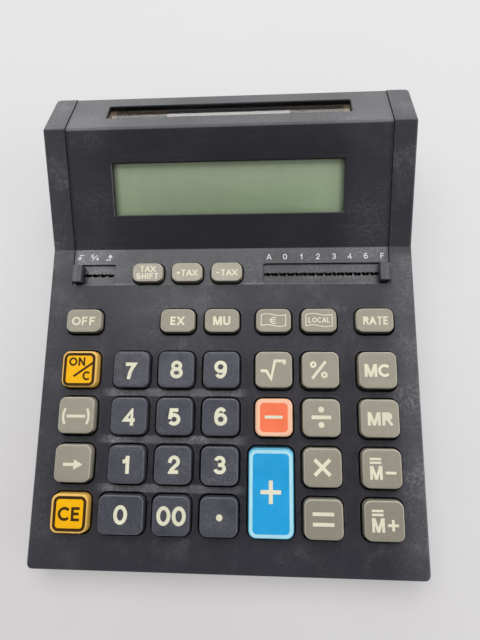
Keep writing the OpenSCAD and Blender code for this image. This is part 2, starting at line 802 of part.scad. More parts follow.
// Key: drafted cap through its hole, flange under the deck and stem above its dome
module key(k) {
  w = k[3];
  d = k[4];
  h = k[5];
  flange_under = k[7] + fit + flange_t;
  on_keyboard(k[1], k[2]) color(k[6]) {
    intersection() {
      translate([0, 0, -flange_under]) linear_extrude(h + flange_under) rounded_rect(w, d, key_r);
      rotate([90, 0, 0]) linear_extrude(2 * d, center = true) drafted(w, h);
      rotate([90, 0, 90]) linear_extrude(2 * w, center = true) drafted(d, h);
    }
    translate([0, 0, -flange_under]) linear_extrude(flange_t)
      rounded_rect(w + 2 * key_gap + 2 * flange_lip, d + 2 * key_gap + 2 * flange_lip, key_r);
    translate([0, 0, -stem_under]) cylinder(r = stem_r, h = stem_under - flange_under + 0.2);
  }
}
module drafted(w, h) {
  polygon([[-w / 2, -far], [w / 2, -far], [w / 2, 0], [w / 2 - key_draft, h],
           [key_draft - w / 2, h], [-w / 2, 0]]);
}

upper_case();
lower_case();
hood_cover();
display_window();
lcd_panel();
lcd_holder();
lcd_ribbon();
solar_window();
solar_cell();
main_board();
logic_chip();
filter_capacitor();
key_membrane();
power_leads();
battery_cell();
battery_contacts();
battery_door();
rounding_slider();
rounding_wiper();
decimal_slider();
decimal_wiper();
case_screws();
inner_screws();
rubber_feet();
for (k = KEYS) key(k);
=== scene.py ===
"""Looks of the desktop solar calculator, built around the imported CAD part.

Lengths here are millimetres until a mesh is made; every object is in metres, in the CAD frame.
Each sloping surface has its own frame: x across, y up the slope, z out of the surface.
"""
import json
import math

import bmesh
import bpy
from mathutils import Matrix, Vector
from mathutils.geometry import delaunay_2d_cdt


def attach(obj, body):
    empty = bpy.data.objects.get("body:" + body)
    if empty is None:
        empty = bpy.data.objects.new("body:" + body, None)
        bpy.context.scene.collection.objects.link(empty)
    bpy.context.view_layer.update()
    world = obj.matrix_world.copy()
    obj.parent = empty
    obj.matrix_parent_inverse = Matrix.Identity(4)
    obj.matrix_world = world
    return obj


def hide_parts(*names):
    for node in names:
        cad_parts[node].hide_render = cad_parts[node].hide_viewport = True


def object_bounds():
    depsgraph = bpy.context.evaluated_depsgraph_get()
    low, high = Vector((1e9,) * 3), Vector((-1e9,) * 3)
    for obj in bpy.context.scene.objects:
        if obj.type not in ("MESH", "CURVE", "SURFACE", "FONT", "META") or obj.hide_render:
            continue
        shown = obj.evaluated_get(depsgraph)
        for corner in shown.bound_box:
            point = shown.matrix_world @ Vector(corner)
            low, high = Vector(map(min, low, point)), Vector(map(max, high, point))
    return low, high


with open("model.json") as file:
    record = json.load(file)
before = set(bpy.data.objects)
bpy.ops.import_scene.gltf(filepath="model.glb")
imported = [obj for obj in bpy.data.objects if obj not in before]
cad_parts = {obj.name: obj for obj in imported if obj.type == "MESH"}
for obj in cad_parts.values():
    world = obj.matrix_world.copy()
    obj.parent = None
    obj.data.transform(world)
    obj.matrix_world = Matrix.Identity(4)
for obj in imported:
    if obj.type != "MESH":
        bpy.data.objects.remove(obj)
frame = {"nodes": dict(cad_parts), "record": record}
cad_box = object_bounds()
record = frame["record"]

MM = 0.001

# Case
BODY_W = 150.0
DECK_LEN, PANEL_LEN = 126.3, 48.8
DECK_TILT, PANEL_TILT, TOP_TILT = 5.0, 28.2, -20.9
FRONT_H, PART_Z, WALL = 12.0, 6.5, 2.0
SIDE_R, CORNER_R = 0.8, 2.2
Y_FRONT, Y_BACK = cad_box[0].y / MM, cad_box[1].y / MM

# Cover between the cheeks
COVER_W, COVER_DROP, COVER_T, SEAM = 131.8, 0.3, 2.0, 0.08
STRIP_S = 110.6
DISPLAY_W, DISPLAY_H, DISPLAY_P = 95.0, 20.8, 24.5
SOLAR_W, SOLAR_H, SOLAR_P = 100.8, 8.7, 12.1
GLASS_DEPTH = 2.5

# Keys and switches; a cap is width, depth and height
COLS = (-58.6, -38.0, -20.0, -2.0, 18.7, 36.7, 58.6)
ROW_FIRST, ROW_PITCH, ROW_LOW, ROW_SLOT = 20.9, 18.2, 95.2, 115.4
KEY, LOW, TAX = (14.6, 14.6, 3.5), (14.1, 10.0, 2.6), (12.9, 8.4, 2.4)
WIDER = {"0": 3.2, "plus": 2.6, "off": 0.65, "rate": 0.75,
         **dict.fromkeys(("m_plus", "m_minus", "mr", "mc"), 0.2)}
LOW_WIDER, WIDE_SHIFT, RATE_SHIFT = 0.1, -1.15, -0.15
KEY_R, DISH = 2.9, 0.12
CAP_EDGE, CAP_TAPER, CAP_DEEP = 0.17, 0.3, 2.2
# The caps lie a little aside in their holes: to the right, by column, and nearer to the user
NUDGE = (0.0, 0.33, 0.3, 0.2, 0.05, 0.15, 0.0)
DROP, HOLE_DROP = 0.15, 0.1
KEY_GAP, THROUGH = 0.45, 6.0
SLOT_D, SLOT_DEEP, SLOT_R, SLIT, SLIT_DROP = 8.4, 1.0, 1.0, 1.4, 0.25
SLOTS = ((-63.1, -50.5), (16.9, 63.1))
RECESSES = ((-65.5, -47.6), (14.5, 65.5))
KNOBS = (("rounding", SLOTS[0][0] + 0.1), ("decimal", SLOTS[1][1] + 0.25))
KNOB_DROP = 0.3


def slope(origin, tilt):
    """Frame on a surface that starts at origin (depth, height) and rises by tilt degrees."""
    return Matrix.Translation((0, *origin)) @ Matrix.Rotation(math.radians(tilt), 4, "X")


def at(place, x, y, z=0.0):
    return place @ Matrix.Translation((x, y, z))


DECK = slope((Y_FRONT, FRONT_H), DECK_TILT)
FOLD = (DECK @ Vector((0, DECK_LEN, 0))).yz
PANEL = slope(FOLD, PANEL_TILT)
RIDGE = (PANEL @ Vector((0, PANEL_LEN, 0))).yz
LIP_Y = (DECK @ Vector((0, STRIP_S, 0))).y
TOP = slope(RIDGE, TOP_TILT)


def lin(*rgb):
    """sRGB, 0 to 255, as a linear colour."""
    part = [c / 255 for c in rgb]
    return tuple(c / 12.92 if c <= 0.04045 else ((c + 0.055) / 1.055) ** 2.4 for c in part) + (1.0,)


# Materials


class Tree:
    """Shorthand for one node material."""

    def __init__(self, name):
        self.mat = bpy.data.materials.new(name)
        self.mat.use_nodes = True
        self.tree = self.mat.node_tree
        self.bsdf = self.tree.nodes["Principled BSDF"]
        self.coord = self.new("TexCoord").outputs["Object"]
        self.seed = self.times(self.new("ObjectInfo").outputs["Random"], 40.0)

    def new(self, kind, inputs=None, **props):
        node = self.tree.nodes.new("ShaderNode" + kind)
        for key, value in props.items():
            setattr(node, key, value)
        for key, value in (inputs or {}).items():
            self.put(node.inputs[key], value)
        return node

    def put(self, socket, value):
        if isinstance(value, bpy.types.NodeSocket):
            self.tree.links.new(value, socket)
        else:
            socket.default_value = value

    def math(self, op, first, *others):
        """The values joined in turn by op."""
        for value in others or (0.0,):
            first = self.new("Math", {0: first, 1: value}, operation=op).outputs[0]
        return first

    def times(self, *values):
        return self.math("MULTIPLY", *values)

    def plus(self, *values):
        return self.math("ADD", *values)

    def most(self, *values):
        return self.math("MAXIMUM", *values)

    def span(self, value, low, high, to_low=0.0, to_high=1.0):
        """value from low..high mapped smoothly to to_low..to_high, held at the ends."""
        node = self.new("MapRange", {"Value": value, "From Min": low, "From Max": high,
                                     "To Min": to_low, "To Max": to_high},
                        interpolation_type="SMOOTHSTEP")
        return node.outputs["Result"]

    def noise(self, scale, detail=2.0, rough=0.5, stretch=(1, 1, 1)):
        where = self.coord
        if stretch != (1, 1, 1):
            where = self.new("VectorMath", {0: where, 1: stretch}, operation="MULTIPLY").outputs[0]
        node = self.new("TexNoise", {"Vector": where, "W": self.seed, "Scale": scale,
                                     "Detail": detail, "Roughness": rough},
                        noise_dimensions="4D")
        return node.outputs["Fac"]

    def specks(self, scale, share, size):
        """Sparse round specks: share of the cells that hold one, and its size in cells."""
        node = self.new("TexVoronoi", {"Vector": self.coord, "W": self.seed, "Scale": scale},
                        voronoi_dimensions="4D")
        near = self.span(node.outputs["Distance"], size, size * 0.4)
        pick = self.new("SeparateColor", {0: node.outputs["Color"]}).outputs[0]
        return self.times(near, self.math("LESS_THAN", pick, share))

    def mix(self, fac, a, b):
        node = self.tree.nodes.new("ShaderNodeMix")
        node.data_type = "RGBA"
        self.put(node.inputs["Factor"], fac)
        colours = [s for s in node.inputs if s.type == "RGBA"]
        self.put(colours[0], a)
        self.put(colours[1], b)
        return [s for s in node.outputs if s.type == "RGBA"][0]

    def axis(self, index, coord=None):
        return self.new("SeparateXYZ", {0: coord or self.coord}).outputs[index]

    def mm(self, index):
        """Place along one axis of the object, in millimetres."""
        return self.math("DIVIDE", self.axis(index), MM)

    def normal(self, index):
        return self.axis(index, self.new("NewGeometry").outputs["Normal"])

    def nook(self, reach):
        """1 in the open, less where walls stand within reach."""
        return self.new("AmbientOcclusion", {"Distance": reach * MM}, samples=8).outputs["AO"]

    def bump(self, height, distance):
        node = self.new("Bump", {"Height": height, "Distance": distance * MM})
        self.put(self.bsdf.inputs["Normal"], node.outputs["Normal"])

    def surface(self, shader):
        """Shows shader in place of the plain one."""
        self.put(self.tree.nodes["Material Output"].inputs["Surface"], shader.outputs[0])

    def set(self, **sockets):
        for name, value in sockets.items():
            self.put(self.bsdf.inputs[name.replace("_", " ")], value)


def scaled(colour, k):
    return tuple(min(1.0, c * k) for c in colour[:3]) + (1.0,)


# BLACK is painted shade for gaps and hollows; DUST is the colour of the dust film.
BLACK, DUST = lin(9, 9, 9), lin(160, 158, 162)


def dust_film(t, dust, patchy, settle, scratches, dust_and_painted_light):
    """How much dust hides each spot: smudged and wiped powder, scratches, flecks and filled corners."""
    smudge = t.span(t.noise(48, 3, 0.5), 0.34, 0.68, 0.3, 1.7)
    wiped = t.span(t.noise(40, 4, 0.6, stretch=(1, 5, 1)), 0.35, 0.7, 0.5, 1.4)
    powder = t.span(t.noise(1100, 4, 0.7), 0.38, 0.66, 0.0, 2.0)
    film = t.times(smudge, wiped, powder, dust * patchy)
    if patchy < 1:
        film = t.plus(film, dust * (1 - patchy))
    # This factor also carries painted sheen and painted shade.
    if dust_and_painted_light:
        film = t.times(film, dust_and_painted_light(t))
    if scratches:
        lines = t.span(t.noise(60, 4, 0.6, stretch=(1, 36, 1)), 0.55, 0.75, 0.0, scratches)
        film = t.plus(film, lines)
    flecks = t.most(t.specks(240, 0.04, 0.1), t.specks(620, 0.04, 0.2))
    film = t.most(film, t.times(flecks, 0.35))
    if settle:
        lumps = t.span(t.noise(420, 5, 0.7), 0.3, 0.7, 0.0, settle)
        film = t.most(film, t.times(t.span(t.nook(2.5), 0.95, 0.5), lumps))
    return film


def plastic(name, colour, rough=0.45, blotch=0.08, grain=0.02, shine=0.5, smear=0.0, front_shade=0.0, foot_shade=None,
            black_shade=None, worn=None, dust=0.0, patchy=1.0, settle=0.0, scratches=0.0, dust_and_painted_light=None):
    """Moulded plastic: soft patches, fine spark texture, uneven polish, scratches, wear and dust, with
    painted shade and highlights.

    smear is the share of dark finger marks, handled how much darker the nearest keys are, as painted shade
    where less light reaches, and grime is (low, high, tone) for the painted shade low on a key's sides.
    dirt(tree) gives where gaps and hollows are painted black as shade, and worn(tree) where edges are paler:
    rubbed, and a painted highlight where they catch the light. dust is the share that lies on faces that look
    up, patchy how uneven it is, settle what gathers in corners, and dust_and_painted_light(tree) a factor on
    the dust that also carries painted sheen and painted shade.
    """
    t = Tree(name)
    patch = t.span(t.noise(45, 4, 0.6), 0.3, 0.7)
    base = t.mix(patch, scaled(colour, 1 - blotch), scaled(colour, 1 + blotch))
    base = t.mix(t.span(t.noise(1100, 3, 0.6), 0.5, 0.8, 0, 0.3), base, scaled(colour, 1.6))
    if smear:
        base = t.mix(t.span(t.noise(150, 3, 0.55), 0.5, 0.68, 0, smear), base, scaled(colour, 0.6))
    # Painted shade: the keys nearest the user are darker, where less light reaches them.
    if front_shade:
        depth = t.axis(1, t.new("NewGeometry").outputs["Position"])
        base = t.mix(t.span(depth, -42 * MM, -74 * MM, 0, front_shade), base, scaled(colour, 0.6))
    # Painted shade low on the sides of a key or knob, down towards its hole.
    if foot_shade:
        low, high, tone = foot_shade
        base = t.mix(t.span(t.mm(2), low, high, 0.9, 0.0), base, tone)
    # Paler edges: rubbed wear, and a painted highlight where rounded edges catch the light.
    if worn:
        rubbed = t.times(worn(t), t.span(t.noise(300, 4, 0.6), 0.3, 0.6, 0.35, 1.0))
        base = t.mix(rubbed, base, scaled(colour, 1.5))
    bare = 1.0
    # Painted shade: gaps and hollows turned black, with less dust on them.
    if black_shade:
        black = black_shade(t)
        base = t.mix(black, base, BLACK)
        bare = t.math("SUBTRACT", 1.0, black)
    if dust:
        film = dust_film(t, dust, patchy, settle, scratches, dust_and_painted_light)
        base = t.mix(t.times(t.span(t.normal(2), 0.4, 0.85), film, bare), base, DUST)
    t.set(Base_Color=base, Roughness=t.span(t.noise(28, 5, 0.65), 0.25, 0.75, rough - 0.07, rough + 0.09),
          Specular_IOR_Level=shine)
    t.bump(t.noise(2600, 2, 0.5), grain)
    return t.mat


def rim_wear_and_highlight(t):
    """The rounded rim of a key: wear, and a painted highlight where it catches the light."""
    return t.times(t.span(t.normal(2), 0.975, 0.88), t.span(t.normal(2), 0.2, 0.5))


def dark_rear(t):
    """Painted shade on the sides that look away from the user."""
    return t.span(t.normal(1), 0.12, 0.6, 0.0, 0.7)


def dark_front(t):
    """Sides that look to the user and away from the light."""
    return t.span(t.normal(1), -0.3, -0.75, 0.0, 0.8)


def side_wear_and_highlight(t):
    """The long edges of the case: wear, and a painted highlight where their rounding catches the light."""
    side = t.math("ABSOLUTE", t.normal(0))
    return t.times(t.span(side, 0.12, 0.45), t.span(side, 0.995, 0.9))


def ink(name, colour, rough=0.5, shine=0.5):
    """Printed ink, thin and a little worn."""
    t = Tree(name)
    worn = t.span(t.noise(900, 3, 0.6), 0.58, 0.8, 0, 0.3)
    tone = t.mix(t.span(t.noise(120, 2), 0.3, 0.7), scaled(colour, 0.93), scaled(colour, 1.04))
    t.set(Base_Color=t.mix(worn, tone, scaled(colour, 0.72)),
          Roughness=t.span(t.noise(300, 2), 0.3, 0.7, rough - 0.06, rough + 0.1), Specular_IOR_Level=shine)
    t.bump(t.noise(2400, 2), 0.008)
    return t.mat


def metal(name, colour, rough):
    """Drawn metal."""
    t = Tree(name)
    drawn = t.noise(400, 3, 0.6, stretch=(1, 1, 9))
    t.set(Base_Color=t.mix(drawn, scaled(colour, 0.8), scaled(colour, 1.1)), Metallic=1.0,
          Roughness=t.span(drawn, 0.3, 0.7, rough - 0.06, rough + 0.1))
    t.bump(drawn, 0.01)
    return t.mat


def clear(name, tint):
    """Thin clear pane: see-through, with a faint reflection and a little dust."""
    gloss, veil = 0.04, 0.02
    t = Tree(name)
    shine = t.new("LayerWeight", {"Blend": 0.2}).outputs["Fresnel"]
    haze = t.span(t.noise(160, 5, 0.7), 0.5, 0.8, 0.0, veil)
    flecks = t.times(t.specks(190, 0.05, 0.14), 4 * veil)
    polish = t.span(t.noise(60, 4), 0.3, 0.7, gloss, gloss + 0.1)
    t.set(Base_Color=lin(200, 198, 190), Roughness=0.6)
    through = t.new("BsdfTransparent", {"Color": tint})
    mirror = t.new("BsdfGlossy", {"Roughness": polish})
    dusty = t.new("MixShader", {0: t.most(haze, flecks), 1: through.outputs[0], 2: t.bsdf.outputs[0]})
    t.surface(t.new("MixShader", {0: t.times(shine, 0.15), 1: dusty.outputs[0], 2: mirror.outputs[0]}))
    return t.mat


# Mesh building


def rounded(w, d, r, steps=7):
    """Rectangle with round corners, anticlockwise."""
    points = []
    for i, (sx, sy) in enumerate(((1, 1), (-1, 1), (-1, -1), (1, -1))):
        for k in range(steps + 1):
            a = (i + k / steps) * math.pi / 2
            points.append((sx * (w / 2 - r) + r * math.cos(a), sy * (d / 2 - r) + r * math.sin(a)))
    return points


def plate_ring(w, d, r, z, steps=7):
    """Rectangle with round corners at height z."""
    return [(x, y, z) for x, y in rounded(w, d, r, steps)]


def loft(bm, rings):
    """Closed skin through rings of equal length."""
    loops = [[bm.verts.new(p) for p in ring] for ring in rings]
    for a, b in zip(loops, loops[1:]):
        for i in range(len(a)):
            j = (i + 1) % len(a)
            bm.faces.new((a[i], a[j], b[j], b[i]))
    bm.faces.new(loops[0][::-1])
    bm.faces.new(loops[-1])


def as_object(name, bm, place=Matrix(), sharp=32.0):
    """Mesh in metres in its own frame, smooth except at bends over sharp degrees."""
    bmesh.ops.recalc_face_normals(bm, faces=bm.faces)
    bm.transform(Matrix.Scale(MM, 4))
    mesh = bpy.data.meshes.new(name)
    bm.to_mesh(mesh)
    bm.free()
    mesh.polygons.foreach_set("use_smooth", [True] * len(mesh.polygons))
    mesh.set_sharp_from_angle(angle=math.radians(sharp))
    obj = bpy.data.objects.new(name, mesh)
    obj.matrix_world = Matrix.Translation(place.translation * MM) @ place.to_3x3().to_4x4()
    bpy.context.scene.collection.objects.link(obj)
    return obj


def solid(name, rings, place=Matrix(), sharp=32.0):
    """Object with a closed skin through rings."""
    bm = bmesh.new()
    loft(bm, rings)
    return as_object(name, bm, place, sharp)


def fit_out(obj, material, body, node=None):
    obj.data.materials.append(material)
    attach(obj, body)
    if node:
        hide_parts(node)


def cut(obj, *cutters):
    """Subtracts each cutter from obj, then flat faces keep flat shading."""
    for cutter in cutters:
        mod = obj.modifiers.new("cut", "BOOLEAN")
        mod.operation, mod.solver, mod.object = "DIFFERENCE", "EXACT", cutter
    mesh = bpy.data.meshes.new_from_object(obj.evaluated_get(bpy.context.evaluated_depsgraph_get()))
    mesh.name = obj.name
    obj.modifiers.clear()
    obj.data = mesh
    for cutter in cutters:
        bpy.data.objects.remove(cutter)
    mesh.set_sharp_from_angle(angle=math.radians(32))
    mod = obj.modifiers.new("flats", "WEIGHTED_NORMAL")
    mod.keep_sharp, mod.weight = True, 90
    return obj


# Side profile of the case


def crossing(p, u, q, v):
    """Where the line through p along u meets the one through q along v."""
    k = (q - p).cross(v) / u.cross(v)
    return p + u * k


def bend(a, b, c, r, steps=6):
    """Arc of radius r that rounds the corner a-b-c at b."""
    u, v = (a - b).normalized(), (c - b).normalized()
    half = u.angle(v) / 2
    reach = r / math.tan(half)
    centre = b + (u + v).normalized() * (r / math.sin(half))
    start, stop = b + u * reach - centre, b + v * reach - centre
    turn = start.angle_signed(stop)
    return [centre + Matrix.Rotation(-turn * k / steps, 2) @ start for k in range(steps + 1)]


def surface_lines(d):
    """The three sloping lines, d below the surface, as point and direction in depth and height."""
    lines = []
    for place in (DECK, PANEL, TOP):
        p = (place @ Vector((0, 0, -d))).yz
        lines.append((p, (place.to_3x3() @ Vector((0, 1, 0))).yz))
    return lines


def corners(d):
    """Fold and ridge, d below the surface."""
    deck, panel, top = surface_lines(d)
    return crossing(*deck, *panel), crossing(*panel, *top)


def case_profile(d, wall_d, z_low, radii):
    """Outline of the upper case from the front foot over the top to the rear foot.

    The sloping faces lie d inside the case and the upright walls wall_d.
    """
    up = Vector((0, 1))
    deck, _, top = surface_lines(d)
    front, rear = Vector((Y_FRONT + wall_d, z_low)), Vector((Y_BACK - wall_d, z_low))
    fold, ridge = corners(d)
    path = [front, crossing(front, up, *deck), fold, ridge, crossing(rear, up, *top), rear]
    points = [front]
    for i, r in enumerate(radii, 1):
        points += bend(path[i - 1], path[i], path[i + 1], r)
    return points + [rear]


def end_stations(half, r, upright=0.0, steps=6):
    """Places across the width, with the inset of the slopes and of the upright walls there.

    The slopes turn over at the ends with radius r, and the upright corners have radius upright.
    """
    wide = max(r, upright)
    turn = [math.pi / 2 * k / steps for k in range(steps + 1)]
    left = []
    for a in turn:
        e = wide * (1 - math.cos(a))
        over = r - math.sqrt(r * r - (r - e) ** 2) if e < r else 0.0
        left.append((-half + e, over, upright * (1 - math.sin(a))))
    return left + [(-x, d, wall_d) for x, d, wall_d in reversed(left)]


def prism(name, outline, x0, x1):
    return solid(name, [[(x, *p) for p in outline] for x in (x0, x1)])


def loft_at(bm, place, rings):
    """Adds a skin, moved to place, to a mesh that may hold others."""
    before = set(bm.verts)
    loft(bm, rings)
    bmesh.ops.transform(bm, matrix=place, verts=[v for v in bm.verts if v not in before])


def hole(bm, place, w, d, r, deep, flare):
    """Cutter for a hole or a recess with a small chamfer at its mouth."""
    mouth, above = (w + 2 * flare, d + 2 * flare, r + flare), 3.0
    loft_at(bm, place, [plate_ring(w, d, r, -deep), plate_ring(w, d, r, -flare), plate_ring(*mouth, 0.001),
                        plate_ring(*mouth, above)])


def key_hole(bm, place, w, d, flare):
    hole(bm, place, w + 2 * KEY_GAP, d + 2 * KEY_GAP, KEY_R + KEY_GAP, THROUGH, flare)


# Keys by row, from the front, with one name for each column
MAIN = (
    ("ce", "0", "00", "point", None, "equals", "m_plus"),
    ("digit_shift", "1", "2", "3", "plus", "times", "m_minus"),
    ("sign", "4", "5", "6", "minus", "divide", "mr"),
    ("on_c", "7", "8", "9", "root", "percent", "mc"),
)
LOW_ROW = ("off", None, "ex", "mu", "currency", "local", "rate")
TAX_ROW = (("tax_shift", -33.25), ("tax_plus", -16.85), ("tax_minus", -0.45))
SPECIAL = {"on_c": "yellow", "ce": "yellow", "minus": "red", "plus": "blue"}


def key_list():
    """Each key as name, place across, place up the deck, width, depth, height and kind."""
    keys = []
    for r, names in enumerate(MAIN):
        for c, name in enumerate(names):
            if name is None:
                continue
            w, d, h = KEY
            x, s = COLS[c], ROW_FIRST + ROW_PITCH * r
            w += WIDER.get(name, 0.0)
            if name in ("0", "plus"):
                x += WIDE_SHIFT
            if name == "plus":
                d, s = d + ROW_PITCH, s - ROW_PITCH / 2
            kind = SPECIAL.get(name, "dark" if 1 <= c <= 3 else "grey")
            keys.append((name, x + NUDGE[c], s - DROP, w, d, h, kind))
    w, d, h = LOW
    for c, name in enumerate(LOW_ROW):
        if name:
            x = COLS[c] + (RATE_SHIFT if name == "rate" else 0.0)
            keys.append((name, x, ROW_LOW - DROP, w + WIDER.get(name, LOW_WIDER), d, h, "grey"))
    keys += [(name, x, ROW_SLOT, *TAX, "grey") for name, x in TAX_ROW]
    return keys


KEYS = key_list()


def nominal(name, x):
    """Place across of a key's hole and legend; the key itself may sit a little aside in its hole."""
    for row in (*MAIN, LOW_ROW):
        if name in row:
            x = COLS[row.index(name)]
    return x + WIDE_SHIFT if name in ("0", "plus") else x


def cap_edge(h):
    """Inset at which a key's rounded edge starts, its radius, and the inset of its top face."""
    r = CAP_EDGE * h
    start = CAP_TAPER * (h - r) / h
    return start, r, start + r


def dished(h, dish, q):
    """Height of a key's top, q of the way from its edge to its middle."""
    return h - dish * (1 - (1 - q) ** 2)


def cap_top(w, d, h, dish, x, y):
    """Height of a key's dished top at x, y."""
    edge = cap_edge(h)[2]
    deep = min(w, d) / 2 - edge
    q = (min(w / 2 - abs(x), d / 2 - abs(y)) - edge) / deep
    return dished(h, dish, max(0.0, min(1.0, q)))


def key_cap(name, w, d, h, dish, place):
    """Tapered cap with a rounded edge, from under the deck to its dished top."""
    start, r, edge = cap_edge(h)
    rings = [(0.25, -CAP_DEEP), (0.0, 0.3 - CAP_DEEP), (0.0, 0.0)]
    for k in range(8):
        a = math.pi / 2 * k / 7
        rings.append((start + r * (1 - math.cos(a)), h - r + r * math.sin(a)))
    deep = min(w, d) / 2 - edge
    rings += [(edge + q * deep, dished(h, dish, q)) for q in (0.2, 0.4, 0.6, 0.8, 0.95)]
    skin = [plate_ring(w - 2 * e, d - 2 * e, max(KEY_R - 0.8 * e, 0.12), z) for e, z in rings]
    return solid(name, skin, place, sharp=40)


# Legends: strokes on a unit body, from the lowest to the highest middle line


def arc(cx, cy, rx, ry, a0, a1):
    """Points of an ellipse from a0 to a1 degrees."""
    steps = max(4, int(abs(a1 - a0) / 12))
    turn = [math.radians(a0 + (a1 - a0) * k / steps) for k in range(steps + 1)]
    return [(cx + rx * math.cos(a), cy + ry * math.sin(a)) for a in turn]


SIX = [arc(0.33, 0.31, 0.33, 0.31, 0, 360), [(0.0, 0.31), (0.0, 0.45)] + arc(0.34, 0.5, 0.34, 0.5, 180, 42)]
GLYPHS = {
    "0": (0.66, [arc(0.33, 0.5, 0.33, 0.5, 0, 360)]),
    "1": (0.34, [[(0.34, 0.0), (0.34, 1.0)], [(0.0, 0.71), (0.14, 0.74), (0.26, 0.83), (0.33, 1.0)]]),
    "2": (0.6, [arc(0.3, 0.71, 0.3, 0.29, 174, -40) + [(0.33, 0.34), (0.13, 0.15), (0.02, -0.04)],
                [(-0.04, 0.0), (0.62, 0.0)]]),
    "3": (0.66, [arc(0.33, 0.75, 0.28, 0.25, 168, -90), arc(0.33, 0.26, 0.33, 0.26, 90, -168),
                 [(0.22, 0.51), (0.36, 0.51)]]),
    "4": (0.72, [[(0.5, 0.0), (0.5, 1.0), (0.0, 0.27), (0.72, 0.27)]]),
    "5": (0.66, [[(0.62, 1.0), (0.13, 1.0), (0.06, 0.47)], arc(0.33, 0.32, 0.33, 0.32, 140, -146)]),
    "6": (0.66, SIX),
    "7": (0.66, [[(0.0, 1.0), (0.66, 1.0), (0.48, 0.72), (0.34, 0.4), (0.26, 0.0)]]),
    "8": (0.66, [arc(0.33, 0.76, 0.27, 0.24, 0, 360), arc(0.33, 0.27, 0.33, 0.27, 0, 360)]),
    "9": (0.66, [[(0.66 - x, 1 - y) for x, y in stroke] for stroke in SIX]),
    "A": (0.8, [[(-0.04, -0.1), (0.36, 1.0)], [(0.44, 1.0), (0.84, -0.1)], [(0.3, 1.0), (0.5, 1.0)],
                [(0.14, 0.3), (0.66, 0.3)]]),
    "C": (0.78, [arc(0.45, 0.5, 0.45, 0.5, 42, 318)]),
    "E": (0.6, [[(0.6, 1.0), (0.0, 1.0), (0.0, 0.0), (0.6, 0.0)], [(0.0, 0.52), (0.54, 0.52)]]),
    "F": (0.58, [[(0.58, 1.0), (0.0, 1.0), (0.0, 0.0)], [(0.0, 0.5), (0.5, 0.5)]]),
    "H": (0.66, [[(0.0, 0.0), (0.0, 1.0)], [(0.66, 0.0), (0.66, 1.0)], [(0.0, 0.5), (0.66, 0.5)]]),
    "I": (0.0, [[(0.0, 0.0), (0.0, 1.0)]]),
    "L": (0.55, [[(0.0, 1.0), (0.0, 0.0), (0.55, 0.0)]]),
    "M": (0.86, [[(0.0, 0.0), (0.0, 1.0)], [(0.06, 1.1), (0.43, -0.1)], [(0.43, -0.1), (0.8, 1.1)],
                 [(0.86, 1.0), (0.86, 0.0)]]),
    "N": (0.68, [[(0.0, 0.0), (0.0, 1.0)], [(0.0, 1.05), (0.68, -0.05)], [(0.68, 0.0), (0.68, 1.0)]]),
    "O": (0.88, [arc(0.44, 0.5, 0.44, 0.5, 0, 360)]),
    "R": (0.64, [[(0.0, 0.0), (0.0, 1.0), (0.36, 1.0)] + arc(0.36, 0.75, 0.26, 0.25, 90, -90) + [(0.0, 0.5)],
                 [(0.36, 0.5), (0.64, 0.0)]]),
    "S": (0.64, [arc(0.32, 0.75, 0.29, 0.25, 25, 270) + arc(0.32, 0.25, 0.32, 0.25, 90, -158)[1:]]),
    "T": (0.7, [[(0.0, 1.0), (0.7, 1.0)], [(0.35, 1.0), (0.35, 0.0)]]),
    "U": (0.66, [[(0.0, 1.0)] + arc(0.33, 0.33, 0.33, 0.33, 180, 360) + [(0.66, 1.0)]]),
    "X": (0.74, [[(-0.05, -0.07), (0.79, 1.07)], [(-0.05, 1.07), (0.79, -0.07)]]),
    "+": (0.6, [[(0.0, 0.5), (0.6, 0.5)], [(0.3, 0.2), (0.3, 0.8)]]),
    "-": (0.6, [[(0.0, 0.5), (0.6, 0.5)]]),
}
KERN = {"FT": -0.35}


def ribbon(path, t):
    """Four-sided pieces along a path, t wide and mitred at its bends."""
    pts = [Vector(p) for p in path]
    closed = (pts[0] - pts[-1]).length < 1e-6
    sides = []
    for i, p in enumerate(pts):
        before = pts[i - 1] if i else (pts[-2] if closed else None)
        after = pts[i + 1] if i + 1 < len(pts) else (pts[1] if closed else None)
        u = [(b - a).normalized() for a, b in ((before, p), (p, after)) if a is not None and b is not None]
        normal = sum((Vector((-v.y, v.x)) for v in u), Vector((0, 0)))
        normal.normalize()
        reach = t / 2 / max(0.5, normal.dot(Vector((-u[0].y, u[0].x))))
        sides.append((p + normal * reach, p - normal * reach))
    return [(a[0], b[0], b[1], a[1]) for a, b in zip(sides, sides[1:])]


def trim(shape, low, high):
    """Part of a convex shape between two heights."""
    for level, side in ((low, 1), (high, -1)):
        kept = []
        for a, b in zip(shape, (*shape[1:], shape[0])):
            da, db = side * (a[1] - level), side * (b[1] - level)
            if da >= 0:
                kept.append(a)
            if da * db < 0:
                k = da / (da - db)
                kept.append(Vector((a[0] + (b[0] - a[0]) * k, level)))
        shape = kept
    return shape


def squared(path, t):
    """Path whose ends at the top or the foot of the body run on by half a stroke."""
    points = [Vector(p) for p in path]
    if (points[0] - points[-1]).length < 1e-6:
        return points
    for end, inner in ((0, 1), (-1, -2)):
        out = (points[end] - points[inner]).normalized()
        if abs(out.y) > 0.5:
            points[end] = points[end] + out * t / 2
    return points


